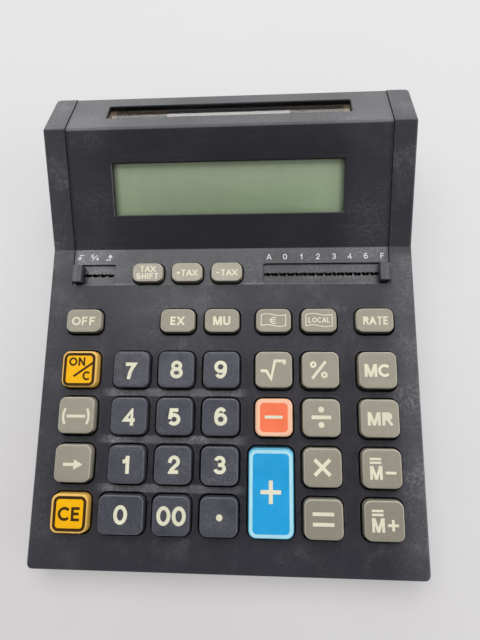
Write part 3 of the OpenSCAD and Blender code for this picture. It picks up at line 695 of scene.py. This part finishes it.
def write(text, cap, t, x=0.0, y=0.0, gap=0.45, squeeze=1.0):
    """Text with capitals cap high and strokes t wide, its middle at x, y."""
    tall = cap - t
    widths = [GLYPHS[c][0] * tall * squeeze + t + KERN.get(c + after, 0.0)
              for c, after in zip(text, text[1:] + " ")]
    pen = x - (sum(widths) + gap * (len(text) - 1)) / 2
    shapes = []
    for c, w in zip(text, widths):
        for stroke in GLYPHS[c][1]:
            path = [(pen + t / 2 + px * tall * squeeze, y - tall / 2 + py * tall) for px, py in stroke]
            if min(stroke[0][1], 1 - stroke[0][1], stroke[-1][1], 1 - stroke[-1][1]) < 0.02:
                path = squared(path, t)
            shapes += [trim(quad, y - cap / 2, y + cap / 2) for quad in ribbon(path, t)]
        pen += w + gap
    return shapes


def bar(x0, x1, y, t):
    return ribbon([(x0, y), (x1, y)], t)


def disc(x, y, r):
    return [[(x + r * math.cos(a), y + r * math.sin(a)) for a in (math.tau * k / 28 for k in range(28))]]


def frame_ring(w, d, r, t):
    """Rounded rectangular ring, t wide, w by d outside."""
    outer, inner = rounded(w, d, r), rounded(w - 2 * t, d - 2 * t, max(r - t, 0.3))
    n = len(outer)
    return [(outer[i], outer[(i + 1) % n], inner[(i + 1) % n], inner[i]) for i in range(n)]


def banknote(w, h):
    """Waving outline of a banknote."""
    top = [(w * (k / 16 - 0.5), h / 2 - 0.25 + 0.38 * math.sin(math.tau * k / 16)) for k in range(17)]
    low = [(x, y - h + 0.5) for x, y in top]
    path = top + low[::-1] + top[:1]
    return ribbon(path, 0.34)


def euro(x, y, size, t):
    r = size / 2 - t / 2
    shapes = ribbon([(x + px, y + py) for px, py in arc(0, 0, r, r, 48, 312)], t)
    for reach, rise in ((0.55, 0.32), (0.4, -0.32)):
        shapes += bar(x - r - 0.55, x + r * reach, y + rise, t * 0.8)
    return shapes


# Digits: height, stroke, place across and up the key, and squeeze
DIGITS = {
    "0": (6.95, 1.38, 0.35, -0.15, 1.06), "00": (6.95, 1.38, 0.5, -0.15, 1.06),
    "1": (6.6, 1.4, 0.0, -0.25, 1.06), "2": (6.7, 1.35, 0.9, 0.1, 0.98), "3": (6.7, 1.35, 0.3, 0.25, 0.98),
    "4": (6.6, 1.4, 0.9, -0.55, 1.06), "5": (6.6, 1.4, 0.25, -0.35, 1.06), "6": (6.95, 1.38, 0.4, 0.0, 0.98),
    "7": (6.6, 1.4, 0.0, -0.85, 1.06), "8": (6.95, 1.38, 0.6, -0.25, 0.98),
    "9": (6.95, 1.38, 0.0, -0.2, 0.98),
}
# Words: text, height, stroke, place across the key, gap and squeeze
WORDS = {
    "mc": ("MC", 4.9, 1.08, -0.3, 0.35, 1.12), "mr": ("MR", 4.9, 1.05, 0.0, 0.6, 1.12),
    "off": ("OFF", 3.5, 0.7, 0.0, 0.5, 1.2), "ex": ("EX", 3.5, 0.74, 0.0, 0.35, 1.02),
    "mu": ("MU", 3.6, 0.82, 0.0, 0.45, 1.15), "rate": ("RATE", 3.3, 0.62, 0.25, 0.2, 0.94),
    "ce": ("CE", 5.0, 1.0, 0.3, 0.55, 1.14), "tax_plus": ("+TAX", 2.6, 0.52, 0.0, 0.12, 1.1),
    "tax_minus": ("-TAX", 2.6, 0.52, 0.0, 0.12, 1.1),
}
DIGIT_GAP, WORD_UP = 0.5, -0.25


def signs():
    """Legends that are drawn, or written on two lines."""
    swing = arc(1.5, -0.5, 6.6, 6.6, 153, 207)
    memory = write("M", 4.9, 1.0, -2.25, -1.5, squeeze=1.06)
    for x0, x1, y, t in ((-4.5, -0.3, 3.4, 0.85), (-4.5, -0.3, 2.05, 0.85), (1.1, 5.0, -1.5, 0.95)):
        memory += bar(x0, x1, y, t)
    percent = ribbon([(-3.15, -3.5), (2.1, 3.2)], 1.1)
    for x, y in ((-2.7, 1.9), (1.5, -2.05)):
        percent += ribbon(arc(x, y, 0.85, 0.85, 0, 360), 0.85)
    return {
        "point": disc(0.5, -0.3, 1.2),
        "equals": bar(-3.9, 3.9, 1.8, 1.28) + bar(-3.9, 3.9, -1.8, 1.28),
        "times": ribbon([(-2.85, 2.85), (2.85, -2.85)], 1.35) + ribbon([(2.85, 2.85), (-2.85, -2.85)], 1.35),
        "divide": bar(-3.7, 3.7, 0.1, 1.4) + disc(0, 3.0, 1.12) + disc(0, -2.7, 1.12),
        "minus": bar(-3.4, 3.4, 0.0, 1.12),
        "plus": bar(-3.8, 3.8, 0.0, 1.5) + ribbon([(0, -4.15), (0, 4.15)], 1.5),
        "root": ribbon([(-5.0, -0.6), (-2.8, -0.6), (-0.95, -3.6), (0.5, 3.3), (4.25, 3.3), (4.15, 1.9)],
                       1.1),
        "percent": percent,
        "sign": (bar(-3.75, 3.75, -0.5, 1.15) + ribbon(swing, 0.95)
                 + ribbon([(-x, y) for x, y in swing], 0.95)),
        "digit_shift": bar(-3.7, 0.7, -0.5, 1.2) + [[(0.5, -2.45), (4.0, -0.5), (0.5, 1.45)]],
        "m_minus": memory,
        "m_plus": memory + ribbon([(3.05, -3.45), (3.05, 0.45)], 0.95),
        "currency": banknote(9.7, 4.9) + euro(0.2, -0.15, 2.9, 0.36),
        "local": banknote(10.3, 5.1) + write("LOCAL", 2.2, 0.44, 0.1, 0.0, gap=0.2, squeeze=0.9),
        "tax_shift": (write("TAX", 2.5, 0.5, 0.0, 1.5, gap=0.12, squeeze=1.1)
                      + write("SHIFT", 2.5, 0.5, 0.0, -1.5, gap=0.4, squeeze=1.1)),
        "on_c": (write("ON", 3.4, 0.72, -1.05, 2.7, squeeze=1.12) + ribbon([(-2.15, -3.15), (5.5, 2.3)], 0.85)
                 + write("C", 3.6, 0.75, 3.0, -2.9)),
    }


SIGNS = signs()


def legend(name):
    """The printed shapes of a key's legend."""
    if name in DIGITS:
        cap, t, x, y, squeeze = DIGITS[name]
        return write(name, cap, t, x, y, DIGIT_GAP, squeeze)
    if name in WORDS:
        text, cap, t, x, gap, squeeze = WORDS[name]
        return write(text, cap, t, x, WORD_UP, gap, squeeze)
    return SIGNS[name]


def printed(name, shapes, place, height, thick=0.05, sunk=0.05):
    """Thin closed print from overlapping flat shapes; height(x, y) is the surface it lies on."""
    points, faces = [], []
    for shape in shapes:
        ring = [Vector(p) for p in shape]
        turn = sum(a.cross(b) for a, b in zip(ring, ring[1:] + ring[:1]))
        faces.append(list(range(len(points), len(points) + len(ring))))
        points += ring if turn > 0 else ring[::-1]
    flat, _, triangles, _, _, sources = delaunay_2d_cdt(points, [], faces, 1, 1e-4)
    kept = [t for t, source in zip(triangles, sources) if source]
    bm = bmesh.new()
    top = [bm.verts.new((p.x, p.y, height(p.x, p.y) + thick)) for p in flat]
    low = [bm.verts.new((p.x, p.y, height(p.x, p.y) - sunk)) for p in flat]
    edges = {}
    for t in kept:
        bm.faces.new([top[i] for i in t])
        bm.faces.new([low[i] for i in reversed(t)])
        for a, b in zip(t, (*t[1:], t[0])):
            edges[(a, b)] = True
    for a, b in edges:
        if (b, a) not in edges:
            bm.faces.new((top[b], top[a], low[a], low[b]))
    bmesh.ops.delete(bm, geom=[v for v in bm.verts if not v.link_faces], context="VERTS")
    return as_object(name, bm, place, sharp=30)


# Finishes


def keyboard_dust_and_shade(t):
    """Dust lies thick between the digit rows and along the right edge; it is thin in the open lanes between
    the key columns, which makes them darker as painted shade.
    """
    across, along = t.mm(0), t.mm(1)
    right = t.times(t.span(across, 58, 74, 0.0, 3.0), t.span(along, FOLD.x, FOLD.x - 6))
    left = t.span(across, -60, -72, 0.0, 0.8)
    mottle = t.span(t.noise(75, 5, 0.68), 0.48, 0.72, 0.25, 1.9)
    spot = t.new("VectorMath", {0: t.coord, 1: (-22 * MM, 11 * MM, 21 * MM)}, operation="DISTANCE")
    pale = t.span(spot.outputs["Value"], 34 * MM, 8 * MM, 0.0, 1.4)
    front = t.span(along, -92, -80, 0.5, 1.0)
    share = t.times(t.plus(right, mottle, left, pale), front)
    block = t.span(along, -20, -10)
    # Painted shade: the lanes between the key columns at the front get less dust, so they are darker.
    for c, near, far in ((0, 2.2, 4.2), (1, 1.0, 2.4), (2, 1.0, 2.4), (3, 2.2, 4.2), (5, 2.2, 4.2)):
        lane = t.math("ABSOLUTE", t.math("SUBTRACT", across, (COLS[c] + COLS[c + 1]) / 2))
        thin = t.span(lane, near, far, 0.3, 1.0)
        share = t.times(share, t.most(block, thin))
    pitch = ROW_PITCH * math.cos(math.radians(DECK_TILT))
    first = (DECK @ Vector((0, ROW_FIRST, 0))).y
    away = t.math("PINGPONG", t.math("SUBTRACT", along, first + pitch / 2), pitch / 2)
    gaps = t.times(t.span(away, 1.9, 1.1), t.span(across, -52, -42), t.span(across, 10, 2),
                   t.span(along, first, first + 0.2 * pitch),
                   t.span(along, first + 3.2 * pitch, first + 3 * pitch),
                   t.span(t.noise(120, 4, 0.6), 0.35, 0.65, 5.0, 7.0))
    return t.plus(share, gaps)


def key_gap_shade(t):
    """Painted shade: black on the walls of the key holes under the deck, and darker where walls stand near,
    as in the lanes between the keys.
    """
    lean = math.radians(DECK_TILT)
    along = t.mm(1)
    rise = t.math("SUBTRACT", t.times(t.mm(2), math.cos(lean)), t.times(along, math.sin(lean)))
    level = FRONT_H * math.cos(lean) - Y_FRONT * math.sin(lean)
    walls = t.times(t.span(rise, level - 0.02, level - 0.14, 0.0, 0.95),
                    t.span(t.math("ABSOLUTE", t.mm(0)), 71, 70),
                    t.span(along, Y_FRONT + 4, Y_FRONT + 5), t.span(along, LIP_Y + 1, LIP_Y))
    return t.most(walls, t.span(t.nook(5), 0.75, 0.35, 0.0, 0.35))


def wall_shade(t):
    """The walls of the openings that look to the user, and the strip close to the knobs and keys."""
    walls = t.span(t.normal(1), -0.62, -0.85, 0.0, 0.85)
    return t.most(walls, t.span(t.nook(4), 0.78, 0.4, 0.0, 0.75))


def cover_dust_sheen_and_shade(t):
    """Dust lies thick on the strip, most at its lip, and beside the display. The strip's dust also stands in
    for a painted sheen, and the dust fades near the knobs and at the ends as painted shade.
    """
    across, along = t.math("ABSOLUTE", t.mm(0)), t.mm(1)
    # Painted sheen as well as dust on the strip.
    strip = t.span(along, FOLD.x + 0.1, FOLD.x - 0.4, 0.0, 1.4)
    # Painted shade: the lip stays bare near the knobs.
    lip = t.times(t.span(along, LIP_Y + 1.4, LIP_Y + 0.2, 0.0, 2.6), t.span(across, 61, 57))
    sides = t.times(t.span(across, 40, 56, 1.0, 3.0), t.span(t.normal(1), -0.35, -0.1, 0.4, 1.0),
                    t.span(along, 76, 92, 1.0, 0.4))
    # Painted shade: little dust at the ends of the cover.
    ends = t.span(across, 66, 64, 0.2, 1.0)
    return t.times(t.plus(strip, lip, sides), ends)


case_plastic = plastic("case_plastic", lin(49, 48, 55), rough=0.36, grain=0.03, shine=0.38, black_shade=key_gap_shade,
                       worn=side_wear_and_highlight, dust=0.07, patchy=0.45, settle=0.4, scratches=0.03,
                       dust_and_painted_light=keyboard_dust_and_shade)
cover_plastic = plastic("cover_plastic", lin(27, 27, 34), rough=0.32, black_shade=wall_shade, dust=0.07, patchy=0.35,
                        settle=0.4, scratches=0.05, dust_and_painted_light=cover_dust_sheen_and_shade)
base_plastic = plastic("base_plastic", lin(42, 41, 47), rough=0.5, grain=0.03, worn=side_wear_and_highlight, dust=0.05)
knob_plastic = plastic("knob_plastic", lin(74, 74, 80), rough=0.36, grain=0.015, black_shade=dark_front,
                       worn=rim_wear_and_highlight, foot_shade=(-0.6, 2.3, lin(10, 10, 11)), dust=0.08)
grey = lin(157, 151, 135)
caps = {
    "dark": plastic("key_dark", lin(72, 73, 82), rough=0.36, blotch=0.14, grain=0.015, smear=0.6, front_shade=0.3,
                    foot_shade=(-0.3, 0.9, lin(10, 10, 11)), worn=rim_wear_and_highlight, dust=0.06, scratches=0.04),
    "grey": plastic("key_grey", grey, rough=0.42, blotch=0.05, grain=0.015, smear=0.12, front_shade=0.42,
                    foot_shade=(-0.3, 1.0, lin(14, 13, 11)), black_shade=dark_front, worn=rim_wear_and_highlight),
}
for kind, colour, rough, high, tone, black_shade in (
        ("yellow", lin(242, 192, 96), 0.34, 0.7, lin(70, 38, 8), None),
        ("red", lin(252, 196, 160), 0.36, 0.9, lin(90, 40, 26), None),
        ("blue", lin(92, 188, 224), 0.34, 0.9, lin(10, 50, 76), dark_rear)):
    caps[kind] = plastic("key_" + kind, colour, rough, 0.05, 0.01, foot_shade=(-0.3, high, tone), black_shade=black_shade)
dusty_cap = plastic("key_grey_dusty", scaled(grey, 1.2), rough=0.4, blotch=0.05, grain=0.015,
                    foot_shade=(-0.3, 0.9, lin(14, 13, 11)), black_shade=dark_front, worn=rim_wear_and_highlight, dust=0.12)
cream_ink = ink("cream_ink", lin(230, 227, 200))
white_ink = ink("white_ink", lin(224, 224, 226))
dark_ink = ink("dark_ink", lin(62, 40, 8), shine=0.2)
label_ink = {
    "yellow": ink("yellow_ink", lin(255, 186, 2), 0.4, 0.25),
    "red": ink("red_ink", lin(255, 126, 86), 0.4, 0.3),
    "blue": ink("blue_ink", lin(30, 162, 222), 0.38),
}
pale_ink = {
    "red": ink("peach_ink", lin(255, 200, 166), 0.4),
    "blue": ink("pale_blue_ink", lin(176, 228, 240), 0.38),
}

# Upper case


def cover_pocket():
    """Cutter for the cover's place between the cheeks."""
    depth, start, sky = COVER_DROP + COVER_T + SEAM, STRIP_S - 0.02, 90
    fold, ridge = corners(depth)
    rear = crossing(Vector((Y_BACK + 5, 0)), Vector((0, 1)), *surface_lines(depth)[2])
    lip = (DECK @ Vector((0, start, -depth))).yz
    lip_up = (DECK @ Vector((0, start, 40))).yz
    outline = [lip, fold, ridge, rear, Vector((rear.x, sky)), Vector((lip_up.x, sky)), lip_up]
    return prism("cutter_pocket", outline, -COVER_W / 2 - SEAM, COVER_W / 2 + SEAM)


def make_case():
    """Shell with its cavity, the pocket for the cover and the holes for the keys."""
    shell = solid("case_shell", [[(x, *p) for p in case_profile(d, wall_d, PART_Z, (0.8, 0.6, 1.0, 1.0))]
                                 for x, d, wall_d in end_stations(BODY_W / 2, SIDE_R, CORNER_R, 12)])
    cavity = prism("cutter_cavity", case_profile(WALL, WALL, PART_Z - 2, (0.2,) * 4),
                   WALL - BODY_W / 2, BODY_W / 2 - WALL)
    bm = bmesh.new()
    for name, x, s, w, d, *_ in KEYS:
        if s < STRIP_S:
            key_hole(bm, at(DECK, nominal(name, x), s - HOLE_DROP), w, d, 0.3)
    key_holes = as_object("cutter_keys", bm)
    fit_out(cut(shell, cavity, cover_pocket(), key_holes), case_plastic, "case", "upper_case")


# Cover: strip, display panel and top face in one folded sheet


def cover_profile(d):
    """Closed outline of the sheet, its outside d lower than at the middle."""
    out, under = COVER_DROP + d, COVER_DROP + COVER_T
    lines = surface_lines(out)
    rear = Vector((Y_BACK, 0))
    up = Vector((0, 1))
    start_low = (DECK @ Vector((0, STRIP_S, -under))).yz
    start = (DECK @ Vector((0, STRIP_S + d, -out))).yz
    fold, ridge = corners(out)
    back = crossing(rear - Vector((d, 0)), up, *lines[2])
    back_low = crossing(rear, up, *surface_lines(under)[2])
    fold_low, ridge_low = corners(under)
    path = [start_low, start, fold, ridge, back, back_low]
    points = [start_low]
    for i, r in enumerate((0.1, 0.6, 2.2, 1.2), 1):
        points += bend(path[i - 1], path[i], path[i + 1], r, 5)
    return points + [back_low, ridge_low, fold_low]


def ragged(x0, x1, width):
    """Outline of a slit whose felt edges are frayed."""
    n = int((x1 - x0) / 0.16)
    low, high = [], []

    def fray(x, turn):
        """Small waves, and the tufts that hang over the slit."""
        waves = ((0.16, 3.7, 2 * turn), (0.13, 7.3, turn), (0.08, 13.1, 0.0))
        tuft = max(0.0, math.sin(0.83 * x + turn) * math.sin(2.9 * x - turn))
        return sum(size * math.sin(rate * x + phase) for size, rate, phase in waves), tuft ** 2

    for x in (x0 + (x1 - x0) * k / n for k in range(n + 1)):
        wave, tuft = fray(x, 0.0)
        low.append((x, min(0.15, wave + 1.1 * tuft - width / 2)))
        wave, tuft = fray(x, 2.1)
        high.append((x, max(0.3, wave - 0.5 * tuft + width / 2)))
    return low + high[::-1]


def make_cover():
    """Folded sheet with its key holes, windows, recesses and slits."""
    stations = end_stations(COVER_W / 2, 0.3, steps=4)
    cover = solid("hood_shell", [[(x, *p) for p in cover_profile(d)] for x, d, _ in stations])
    bm = bmesh.new()
    for _, x, s, w, d, *_ in KEYS:
        if s > STRIP_S:
            key_hole(bm, at(DECK, x, s, -COVER_DROP), w, d, 0.12)
    hole(bm, at(PANEL, 0, DISPLAY_P, -COVER_DROP), DISPLAY_W, DISPLAY_H, 0.5, THROUGH, 0.35)
    hole(bm, at(TOP, 0, SOLAR_P, -COVER_DROP), SOLAR_W, SOLAR_H, 0.5, THROUGH, 0.35)
    for x0, x1 in RECESSES:
        hole(bm, at(DECK, (x0 + x1) / 2, ROW_SLOT, -COVER_DROP), x1 - x0, SLOT_D, SLOT_R, SLOT_DEEP, 0.15)
    openings = as_object("cutter_openings", bm)
    bm = bmesh.new()
    for x0, x1 in SLOTS:
        outline = ragged(x0 - 2.0, x1 + 2.0, SLIT)
        loft_at(bm, at(DECK, 0, ROW_SLOT - SLIT_DROP, -COVER_DROP - SLOT_DEEP),
                [[(x, y, z) for x, y in outline] for z in (-THROUGH, 0.5)])
    slits = as_object("cutter_slits", bm)
    fit_out(cut(cover, openings, slits), cover_plastic, "case", "hood_cover")


# Keys and their prints; a label is width, depth, and its place across and up the key
LABELS = {"on_c": (10.8, 11.1, 0.0, -0.2), "ce": (10.8, 10.6, 0.3, 0.0), "minus": (10.6, 11.0, 0.0, 0.0),
          "plus": (13.6, 28.6, 0.0, -0.3)}
PRINT, ON_LABEL = 0.05, 0.03


def shifted(rings, dx, dy):
    return [[(x + dx, y + dy) for x, y in ring] for ring in rings]


def make_key(name, x, s, w, d, h, kind):
    """A key's cap, its label and rim if it is a coloured one, and its legend."""
    body, slot, place = "key_" + name, "key_" + kind, at(DECK, x, s)
    on_deck, labelled = s < STRIP_S, name in LABELS
    form = (w, d, h, 0.0 if labelled else DISH)
    skin = caps[kind] if on_deck else dusty_cap
    fit_out(key_cap("cap_" + name, *form, place), skin, body, body)
    shapes = shifted(legend(name), nominal(name, x) - x, DROP if on_deck else 0.0)
    legend_ink, lift = cream_ink, 0.0

    def top(px, py):
        return cap_top(*form, px, py)

    if labelled:
        wide, deep, *aside = LABELS[name]
        lift = ON_LABEL
        panel = frame_ring(wide, deep, 1.6, 1.4) + [rounded(wide - 2.8, deep - 2.8, 0.3)]
        label = printed("label_" + name, shifted(panel, *aside), place, top, 0.04)
        fit_out(label, label_ink[kind], body, None)
        if kind == "yellow":
            legend_ink = dark_ink
            shapes += shifted(frame_ring(wide + 1.9, deep + 2.0, 2.3, 1.1), *aside)
        else:
            ring = shifted(frame_ring(wide + 2.4, deep + 2.4, 2.6, 1.3), *aside)
            fit_out(printed("rim_" + name, ring, place, top, 0.035), pale_ink[kind], body, None)
    fit_out(printed("legend_" + name, shapes, place, top, PRINT + lift, PRINT - lift), legend_ink, body)


# Slide switches: half of the knob's outline from its foot to its middle, and its sections from end to end
KNOB_HALF = ((1.9, -1.0), (1.9, 2.9), (1.8, 3.1), (1.5, 3.18), (1.2, 3.14), (0.6, 2.96))
KNOB = [(-x, z) for x, z in KNOB_HALF] + [(0.0, 2.9), *reversed(KNOB_HALF)]
KNOB_ENDS = ((-3.7, 0.88), (-3.6, 0.96), (-3.4, 1.0), (0.0, 0.97), (3.4, 1.0), (3.6, 0.96), (3.7, 0.88))


def make_knob(name, x):
    """Saddle-shaped knob of a slide switch."""
    skin = [[(px * k, y, -1 + (pz + 1) * k) for px, pz in KNOB] for y, k in KNOB_ENDS]
    knob = solid(name + "_knob", skin, at(DECK, x, ROW_SLOT - KNOB_DROP))
    fit_out(knob, knob_plastic, name + "_switch", name + "_slider")


# Marks on the strip
STOPS = (16.94, 23.55, 30.13, 37.09, 43.61, 50.10, 56.56, 63.20)
MARK_S, ARROW_S = 122.5, 122.9


def make_marks():
    """The decimal scale, and the signs for rounding up, to the nearest and down."""
    marks = []
    for text, x in zip("A012346F", STOPS):
        marks += write(text, 2.4, 0.34, x, MARK_S)
    for x, way in ((-63.15, -1), (-50.55, 1)):
        stem = x + 0.3 * way
        level = ARROW_S - 1.1 * way
        marks += ribbon([(x - 1.6 * way, level), (stem, level), (stem, ARROW_S)], 0.4)
        marks.append([(stem - 1.0, ARROW_S), (stem + 1.0, ARROW_S), (stem, ARROW_S + 1.4 * way)])
    for text, x, rise in (("5", -58.0, 0.5), ("4", -55.8, -0.5)):
        marks += write(text, 1.7, 0.34, x, ARROW_S + rise)
    marks += ribbon([(-57.9, ARROW_S - 1.2), (-55.9, ARROW_S + 1.2)], 0.3)
    fit_out(printed("strip_marks", marks, DECK, lambda x, y: -COVER_DROP, 0.03), white_ink, "case")


# Display glass and solar cell


def slab(name, w, d, t, place):
    """Plate with its top face at the frame's zero and softened edges."""
    r = 0.4
    rings = [(r, -t), (0.0, -t + r)]
    for k in range(5):
        a = math.pi / 8 * k
        rings.append((r * (1 - math.cos(a)), -r + r * math.sin(a)))
    return solid(name, [plate_ring(w - 2 * e, d - 2 * e, 0.8, z, 4) for e, z in rings], place)


def display_glass():
    """Grey-green display, paler above and to the sides, with a painted shadow of the window's frame at its
    ends, and faintly streaked.
    """
    t = Tree("display_glass")
    across, along = t.mm(0), t.mm(1)
    off_middle = t.math("ABSOLUTE", across)
    green = t.mix(t.span(across, -20, 45, 0.0, 0.5), lin(153, 165, 139), lin(146, 168, 138))
    green = t.mix(t.span(along, -7, 9, 0.0, 0.8), green, lin(174, 183, 160))
    green = t.mix(t.span(off_middle, 24, 42, 0.0, 0.5), green, lin(174, 186, 160))
    streak = t.noise(260, 2, 0.5, stretch=(1, 0.04, 1))
    green = t.mix(t.span(streak, 0.35, 0.75, 0.0, 0.14), green, lin(136, 148, 122))
    green = t.mix(t.span(t.noise(70, 4), 0.5, 0.75, 0.0, 0.2), green, lin(146, 156, 136))
    # Painted shadow of the window's frame at both ends.
    green = t.mix(t.span(off_middle, 44.6, 47.6, 0.0, 0.62), green, lin(66, 68, 58))
    green = t.mix(t.times(t.specks(150, 0.06, 0.1), 0.4), green, lin(206, 206, 190))
    t.set(Base_Color=green, Roughness=t.span(t.noise(90, 3), 0.3, 0.7, 0.42, 0.55))
    t.bump(t.noise(1500, 2), 0.006)
    return t.mat


def solar_film():
    """Dark film cell with brown ends, one thin line near its top, and a painted reflection along the middle
    of its lower edge.
    """
    t = Tree("solar_film")
    across = t.math("ABSOLUTE", t.mm(0))
    ripple = t.span(t.noise(320, 2, stretch=(1, 0.2, 1)), 0.4, 0.6, -0.12, 0.12)
    along = t.plus(t.mm(1), ripple)
    middle = t.span(across, 26, 25.4)
    dark = t.mix(t.span(t.noise(60, 3), 0.3, 0.7), lin(14, 12, 18), lin(30, 25, 32))
    film = t.mix(middle, lin(44, 30, 20), dark)
    line = t.times(t.span(along, 3.7, 3.9), t.span(along, 4.4, 4.2), 0.4)
    film = t.mix(line, film, lin(112, 100, 96))
    # Painted reflection: the lower edge is pale in the middle.
    edge = t.mix(middle, lin(46, 33, 25), lin(160, 150, 154))
    film = t.mix(t.span(along, 1.5, 1.3), film, edge)
    film = t.mix(t.span(across, 47.2, 48.4), film, lin(112, 92, 74))
    film = t.mix(t.span(t.noise(90, 4), 0.45, 0.8, 0.0, 0.2), film, lin(60, 48, 44))
    t.set(Base_Color=film, Roughness=t.span(t.noise(60, 3), 0.3, 0.7, 0.42, 0.55), Specular_IOR_Level=0.12)
    t.bump(t.noise(900, 2), 0.006)
    return t.mat


# The dressed pieces
make_case()
make_cover()
for row in KEYS:
    make_key(*row)
for name, x in KNOBS:
    make_knob(name, x)
make_marks()
fit_out(slab("display_face", DISPLAY_W + 5, DISPLAY_H + 7.4, 2.2, at(PANEL, 0, DISPLAY_P, -GLASS_DEPTH)),
        display_glass(), "case", "lcd_panel")
fit_out(slab("solar_strip", SOLAR_W + 3.4, SOLAR_H + 3.6, 1.2, at(TOP, 0, SOLAR_P, -GLASS_DEPTH)),
        solar_film(), "case", "solar_cell")

# CAD nodes that stay: finish by slot, from its colour, roughness and, in plastic, blotch
PLASTICS = {
    "inner_plastic": (lin(70, 70, 72), 0.5),
    "ribbon_film": (lin(176, 140, 80), 0.35, 0.1),
    "board_laminate": (lin(46, 66, 50), 0.45, 0.1),
    "chip_epoxy": (lin(30, 30, 32), 0.55),
    "capacitor_sleeve": (lin(40, 66, 140), 0.35),
    "membrane_rubber": (lin(128, 128, 122), 0.6),
    "lead_insulation": (lin(150, 44, 40), 0.5),
}
METALS = {
    "cell_steel": (lin(196, 198, 200), 0.28),
    "contact_metal": (lin(200, 176, 96), 0.3),
    "screw_steel": (lin(176, 176, 178), 0.35),
}
finish = {
    "base_plastic": base_plastic,
    "clear_pane": clear("clear_pane", (0.97, 0.98, 0.96, 1.0)),
    "foot_rubber": plastic("foot_rubber", lin(36, 36, 38), 0.7, grain=0.05, dust=0.1),
    **{slot: plastic(slot, *look) for slot, look in PLASTICS.items()},
    **{slot: metal(slot, *look) for slot, look in METALS.items()},
}
slot_of = {row["node"]: row["material_slot"] for row in record["subparts"]}
for node, obj in frame["nodes"].items():
    if slot_of[node] in finish and not obj.hide_render:
        obj.data.materials.clear()
        obj.data.materials.append(finish[slot_of[node]])

# Floor, light and camera


def floor_paper():
    """Pale paper, darker to the front and the left as painted light falloff, and half lit by itself where the
    camera, gloss or glass sees it; it keeps the shadow.
    """
    t = Tree("floor_paper")
    # Painted light falloff: the paper is darker to the front, and there darker to the left.
    right = t.span(t.axis(0), -0.1, 0.12)
    front = t.mix(right, lin(207, 201, 202), lin(215, 212, 213))
    back = t.mix(right, lin(223, 223, 223), lin(224, 224, 224))
    pale = t.mix(t.span(t.axis(1), -0.17, 0.06), front, back)
    pale = t.mix(t.span(t.noise(9, 5, 0.6), 0.35, 0.7, 0.0, 0.4), pale, lin(228, 226, 226))
    pale = t.mix(t.times(t.specks(60, 0.05, 0.08), 0.5), pale, lin(150, 140, 126))
    t.set(Base_Color=pale, Roughness=0.7)
    t.bump(t.noise(300, 3), 0.1)
    glow = t.new("Emission", {"Color": pale, "Strength": 1.0})
    ray = t.new("LightPath").outputs
    seen = t.most(ray["Is Camera Ray"], ray["Is Glossy Ray"], ray["Is Transmission Ray"])
    t.surface(t.new("MixShader", {0: t.times(seen, 0.5), 1: t.bsdf.outputs[0], 2: glow.outputs[0]}))
    return t.mat


bm = bmesh.new()
bmesh.ops.create_grid(bm, x_segments=2, y_segments=2, size=2500)
floor = as_object("floor", bm)
floor.data.materials.append(floor_paper())


def studio_sky():
    """World light that is dimmer overhead and a little to the front."""
    world = bpy.data.worlds.new("studio")
    world.use_nodes = True
    nodes, links = world.node_tree.nodes, world.node_tree.links
    sky = nodes.new("ShaderNodeTexCoord")
    facing = nodes.new("ShaderNodeVectorMath")
    facing.operation = "DOT_PRODUCT"
    facing.inputs[1].default_value = (0.0, -0.35, 0.94)
    fall = nodes.new("ShaderNodeMapRange")
    fall.interpolation_type = "SMOOTHSTEP"
    for key, value in (("From Min", 0.65), ("From Max", 0.97), ("To Min", 0.6), ("To Max", 0.16)):
        fall.inputs[key].default_value = value
    links.new(sky.outputs["Generated"], facing.inputs[0])
    links.new(facing.outputs["Value"], fall.inputs["Value"])
    links.new(fall.outputs["Result"], nodes["Background"].inputs["Strength"])
    nodes["Background"].inputs["Color"].default_value = (0.97, 0.98, 1.0, 1.0)
    return world


def area_light(name, spot, aim, size, power):
    data = bpy.data.lights.new(name, "AREA")
    data.shape, data.size, data.size_y, data.energy = "RECTANGLE", *size, power
    light = bpy.data.objects.new(name, data)
    light.location = spot
    light.rotation_euler = (Vector(aim) - Vector(spot)).to_track_quat("-Z", "Y").to_euler()
    bpy.context.scene.collection.objects.link(light)


bpy.context.scene.world = studio_sky()
area_light("overhead_softbox", (-0.08, 0.57, 1.05), (0, 0.05, 0), (1.3, 0.8), 8.8)
area_light("rear_window", (0.0, 1.1, 0.3), (0, 0.05, 0.03), (1.4, 0.6), 4.2)
area_light("side_window", (1.0, -0.1, 0.5), (0, 0, 0.02), (0.8, 0.8), 3.4)

camera_data = bpy.data.cameras.new("camera")
camera_data.lens, camera_data.sensor_width, camera_data.sensor_fit = 27.0, 36.0, "AUTO"
camera_data.clip_start, camera_data.clip_end = 0.01, 10
camera = bpy.data.objects.new("camera", camera_data)
CAM_AT = Vector((17.797, -53.643, 206.978))
CAM_TURN = [math.radians(a) for a in (-16.108, 3.718, -0.1009)]
flip = Matrix.Diagonal((1, -1, -1))
to_camera = (Matrix.Rotation(CAM_TURN[2], 3, "Z") @ Matrix.Rotation(CAM_TURN[1], 3, "Y")
             @ Matrix.Rotation(CAM_TURN[0], 3, "X") @ flip)
camera.matrix_world = Matrix.Translation(CAM_AT * MM) @ (to_camera.transposed() @ flip).to_4x4()
bpy.context.scene.collection.objects.link(camera)
bpy.context.scene.camera = camera
bpy.context.scene.view_settings.view_transform = "Standard"

bpy.context.view_layer.update()
